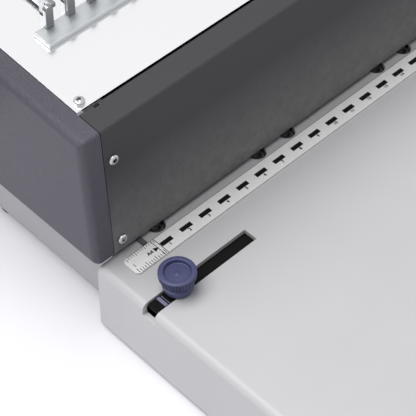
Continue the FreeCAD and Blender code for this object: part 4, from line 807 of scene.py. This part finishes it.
# From the middle of the foot, round the rim and down into the dish: radius, height and rounding
knob_outline = [
    (0, 0, 0),
    (7.6, 0, 0.3),
    (7.6, 1.8, 0.2),
    (8.5, 2.1, 0.4),
    (8.5, 4.3, 0.5),
    (7.7, 4.7, 0.2),
    (7.7, 5.4, 0.3),
    (8.3, 6.5, 0),
    (8.5, 6.85, 0),
    (10.35, 10.2, 2.0),
    (10.35, 14.2, 1.2),
    (7.35, 14.2, 0.6),
    (7.2, 11.7, 0.5),
    (1.5, 11.9, 0.2),
    (0.9, 12.3, 0.3),
    (0, 12.3, 0),
]
knob = spun(rounded(knob_outline), steps=FLUTES * FLUTE_STEPS)
for point in knob.verts:
    height = point.co.z / MM
    radius = math.hypot(point.co.x, point.co.y)
    if FLUTE_LOW < height < FLUTE_HIGH and radius > DISH_RADIUS * MM:
        angle = math.atan2(point.co.y, point.co.x)
        groove = FLUTE_DEPTH * MM * (0.5 - 0.5 * math.cos(FLUTES * angle))
        point.co.x *= (radius - groove) / radius
        point.co.y *= (radius - groove) / radius
knob_x, knob_y, _ = joints["edge_guide_knob"]["pos_m"]
bmesh.ops.translate(knob, verts=knob.verts, vec=(knob_x, knob_y, knob_foot))
show("knob", knob, "edge_guide_knob", blue_plastic, "blue_plastic", "edge_guide_knob")
stud = eased("knob_stud", edge_mm=0.4)
show("knob_stud_ground", stud, "edge_guide_knob", ground_steel, "tool_steel", "knob_stud")

# Waste drawer
# A long black moulded tray that catches the chips, pulled out to the right by a ledge on its front.
drawer_plastic = moulded_plastic(
    "black_drawer_abs", "#242426", "#29292b", roughness=0.5, grain_mm=1.0, relief_mm=0.03
)
drawer = eased("waste_drawer", edge_mm=0.5)
show("drawer", drawer, "waste_drawer", drawer_plastic, "drawer_plastic", "waste_drawer")

# Floor
# A plain pale table top that turns into the white background away from the machine, as a paper sweep does.
# Its sizes, and the places of the light and the camera, are in metres.
FLOOR_HALF = 6.0
FADE_START = 0.45
FADE_END = 1.5
FIBRE = 0.125


def seen_directly(tree):
    """One for what the camera sees, straight or mirrored in a polished piece, and nought for other light."""
    ray = add(tree, "LightPath", {})
    seen = add(tree, "Math", {"operation": "MAXIMUM"})
    tree.links.new(ray.outputs["Is Camera Ray"], seen.inputs[0])
    tree.links.new(ray.outputs["Is Glossy Ray"], seen.inputs[1])
    return seen.outputs[0]


floor_mesh = bmesh.new()
bmesh.ops.create_grid(floor_mesh, x_segments=1, y_segments=1, size=FLOOR_HALF)
floor_data = bpy.data.meshes.new("floor")
floor_mesh.to_mesh(floor_data)
floor_mesh.free()
floor_paper, tree, shader, place = start_material("pale_paper", Roughness=0.9, Specular_IOR_Level=0.1)
fibre = add(tree, "TexNoise", {"Scale": 1 / FIBRE, "Detail": 2.0}, Vector=place)
tint = add(
    tree,
    "MixRGB",
    {"Color1": linear("#f1f0f4"), "Color2": linear("#f3f2f6")},
    Fac=fibre.outputs["Fac"],
)
tree.links.new(tint.outputs["Color"], shader.inputs["Base Color"])
away = add(tree, "VectorMath", {"operation": "LENGTH"})
tree.links.new(place, away.inputs[0])
fade = add(
    tree,
    "MapRange",
    {"From Min": FADE_START, "From Max": FADE_END, "interpolation_type": "SMOOTHSTEP"},
    Value=away.outputs["Value"],
)
share = add(tree, "Math", {"operation": "MULTIPLY"})
tree.links.new(seen_directly(tree), share.inputs[0])
tree.links.new(fade.outputs["Result"], share.inputs[1])
white = add(tree, "Emission", {"Strength": 1.0})
sweep = add(tree, "MixShader", {})
tree.links.new(share.outputs[0], sweep.inputs["Fac"])
tree.links.new(shader.outputs["BSDF"], sweep.inputs[1])
tree.links.new(white.outputs["Emission"], sweep.inputs[2])
tree.links.new(sweep.outputs["Shader"], tree.nodes["Material Output"].inputs["Surface"])
floor_data.materials.append(floor_paper)
floor = bpy.data.objects.new("floor", floor_data)
bpy.context.scene.collection.objects.link(floor)

# Light
# A white room with one large soft box overhead, as in a packshot.
ROOM_LIGHT = 0.4
SOFT_BOX_WIDTH = 1.3
SOFT_BOX_WATTS = 25.0
world = bpy.data.worlds.new("white_room")
bpy.context.scene.world = world
world.use_nodes = True
tree = world.node_tree
room = tree.nodes["Background"]
room.inputs["Color"].default_value = (1.0, 1.0, 1.0, 1.0)
level = add(tree, "MapRange", {"To Min": ROOM_LIGHT, "To Max": 1.0}, Value=seen_directly(tree))
tree.links.new(level.outputs["Result"], room.inputs["Strength"])

soft_box_place = Vector((-0.5, 0.32, 1.5))
soft_box_aim = Vector((-0.1, -0.1, 0.05))
lamp = bpy.data.lights.new("soft_box", "AREA")
lamp.size = SOFT_BOX_WIDTH
lamp.energy = SOFT_BOX_WATTS
soft_box = bpy.data.objects.new("soft_box", lamp)
soft_box.location = soft_box_place
soft_box.rotation_mode = "QUATERNION"
soft_box.rotation_quaternion = (soft_box_aim - soft_box_place).to_track_quat("-Z", "Y")
bpy.context.scene.collection.objects.link(soft_box)
bpy.context.scene.view_settings.view_transform = "Standard"

# Camera
# Stands to the left in front and looks down on the guide's corner of the machine.
LENS = 129.3
SENSOR_WIDTH = 36.0
camera_data = bpy.data.cameras.new("camera")
camera_data.lens = LENS
camera_data.sensor_width = SENSOR_WIDTH
camera = bpy.data.objects.new("camera", camera_data)
camera_place = Vector((-0.470875, -0.3930, 0.6609))
camera_right = Vector((0.7264, -0.6866, -0.0309))
camera_up = Vector((0.5282, 0.5290, 0.6642))
camera_back = Vector((-0.4397, -0.4988, 0.7469))
turn = Matrix((camera_right, camera_up, camera_back)).transposed()
camera.matrix_world = Matrix.Translation(camera_place) @ turn.to_4x4()
bpy.context.scene.collection.objects.link(camera)
bpy.context.scene.camera = camera
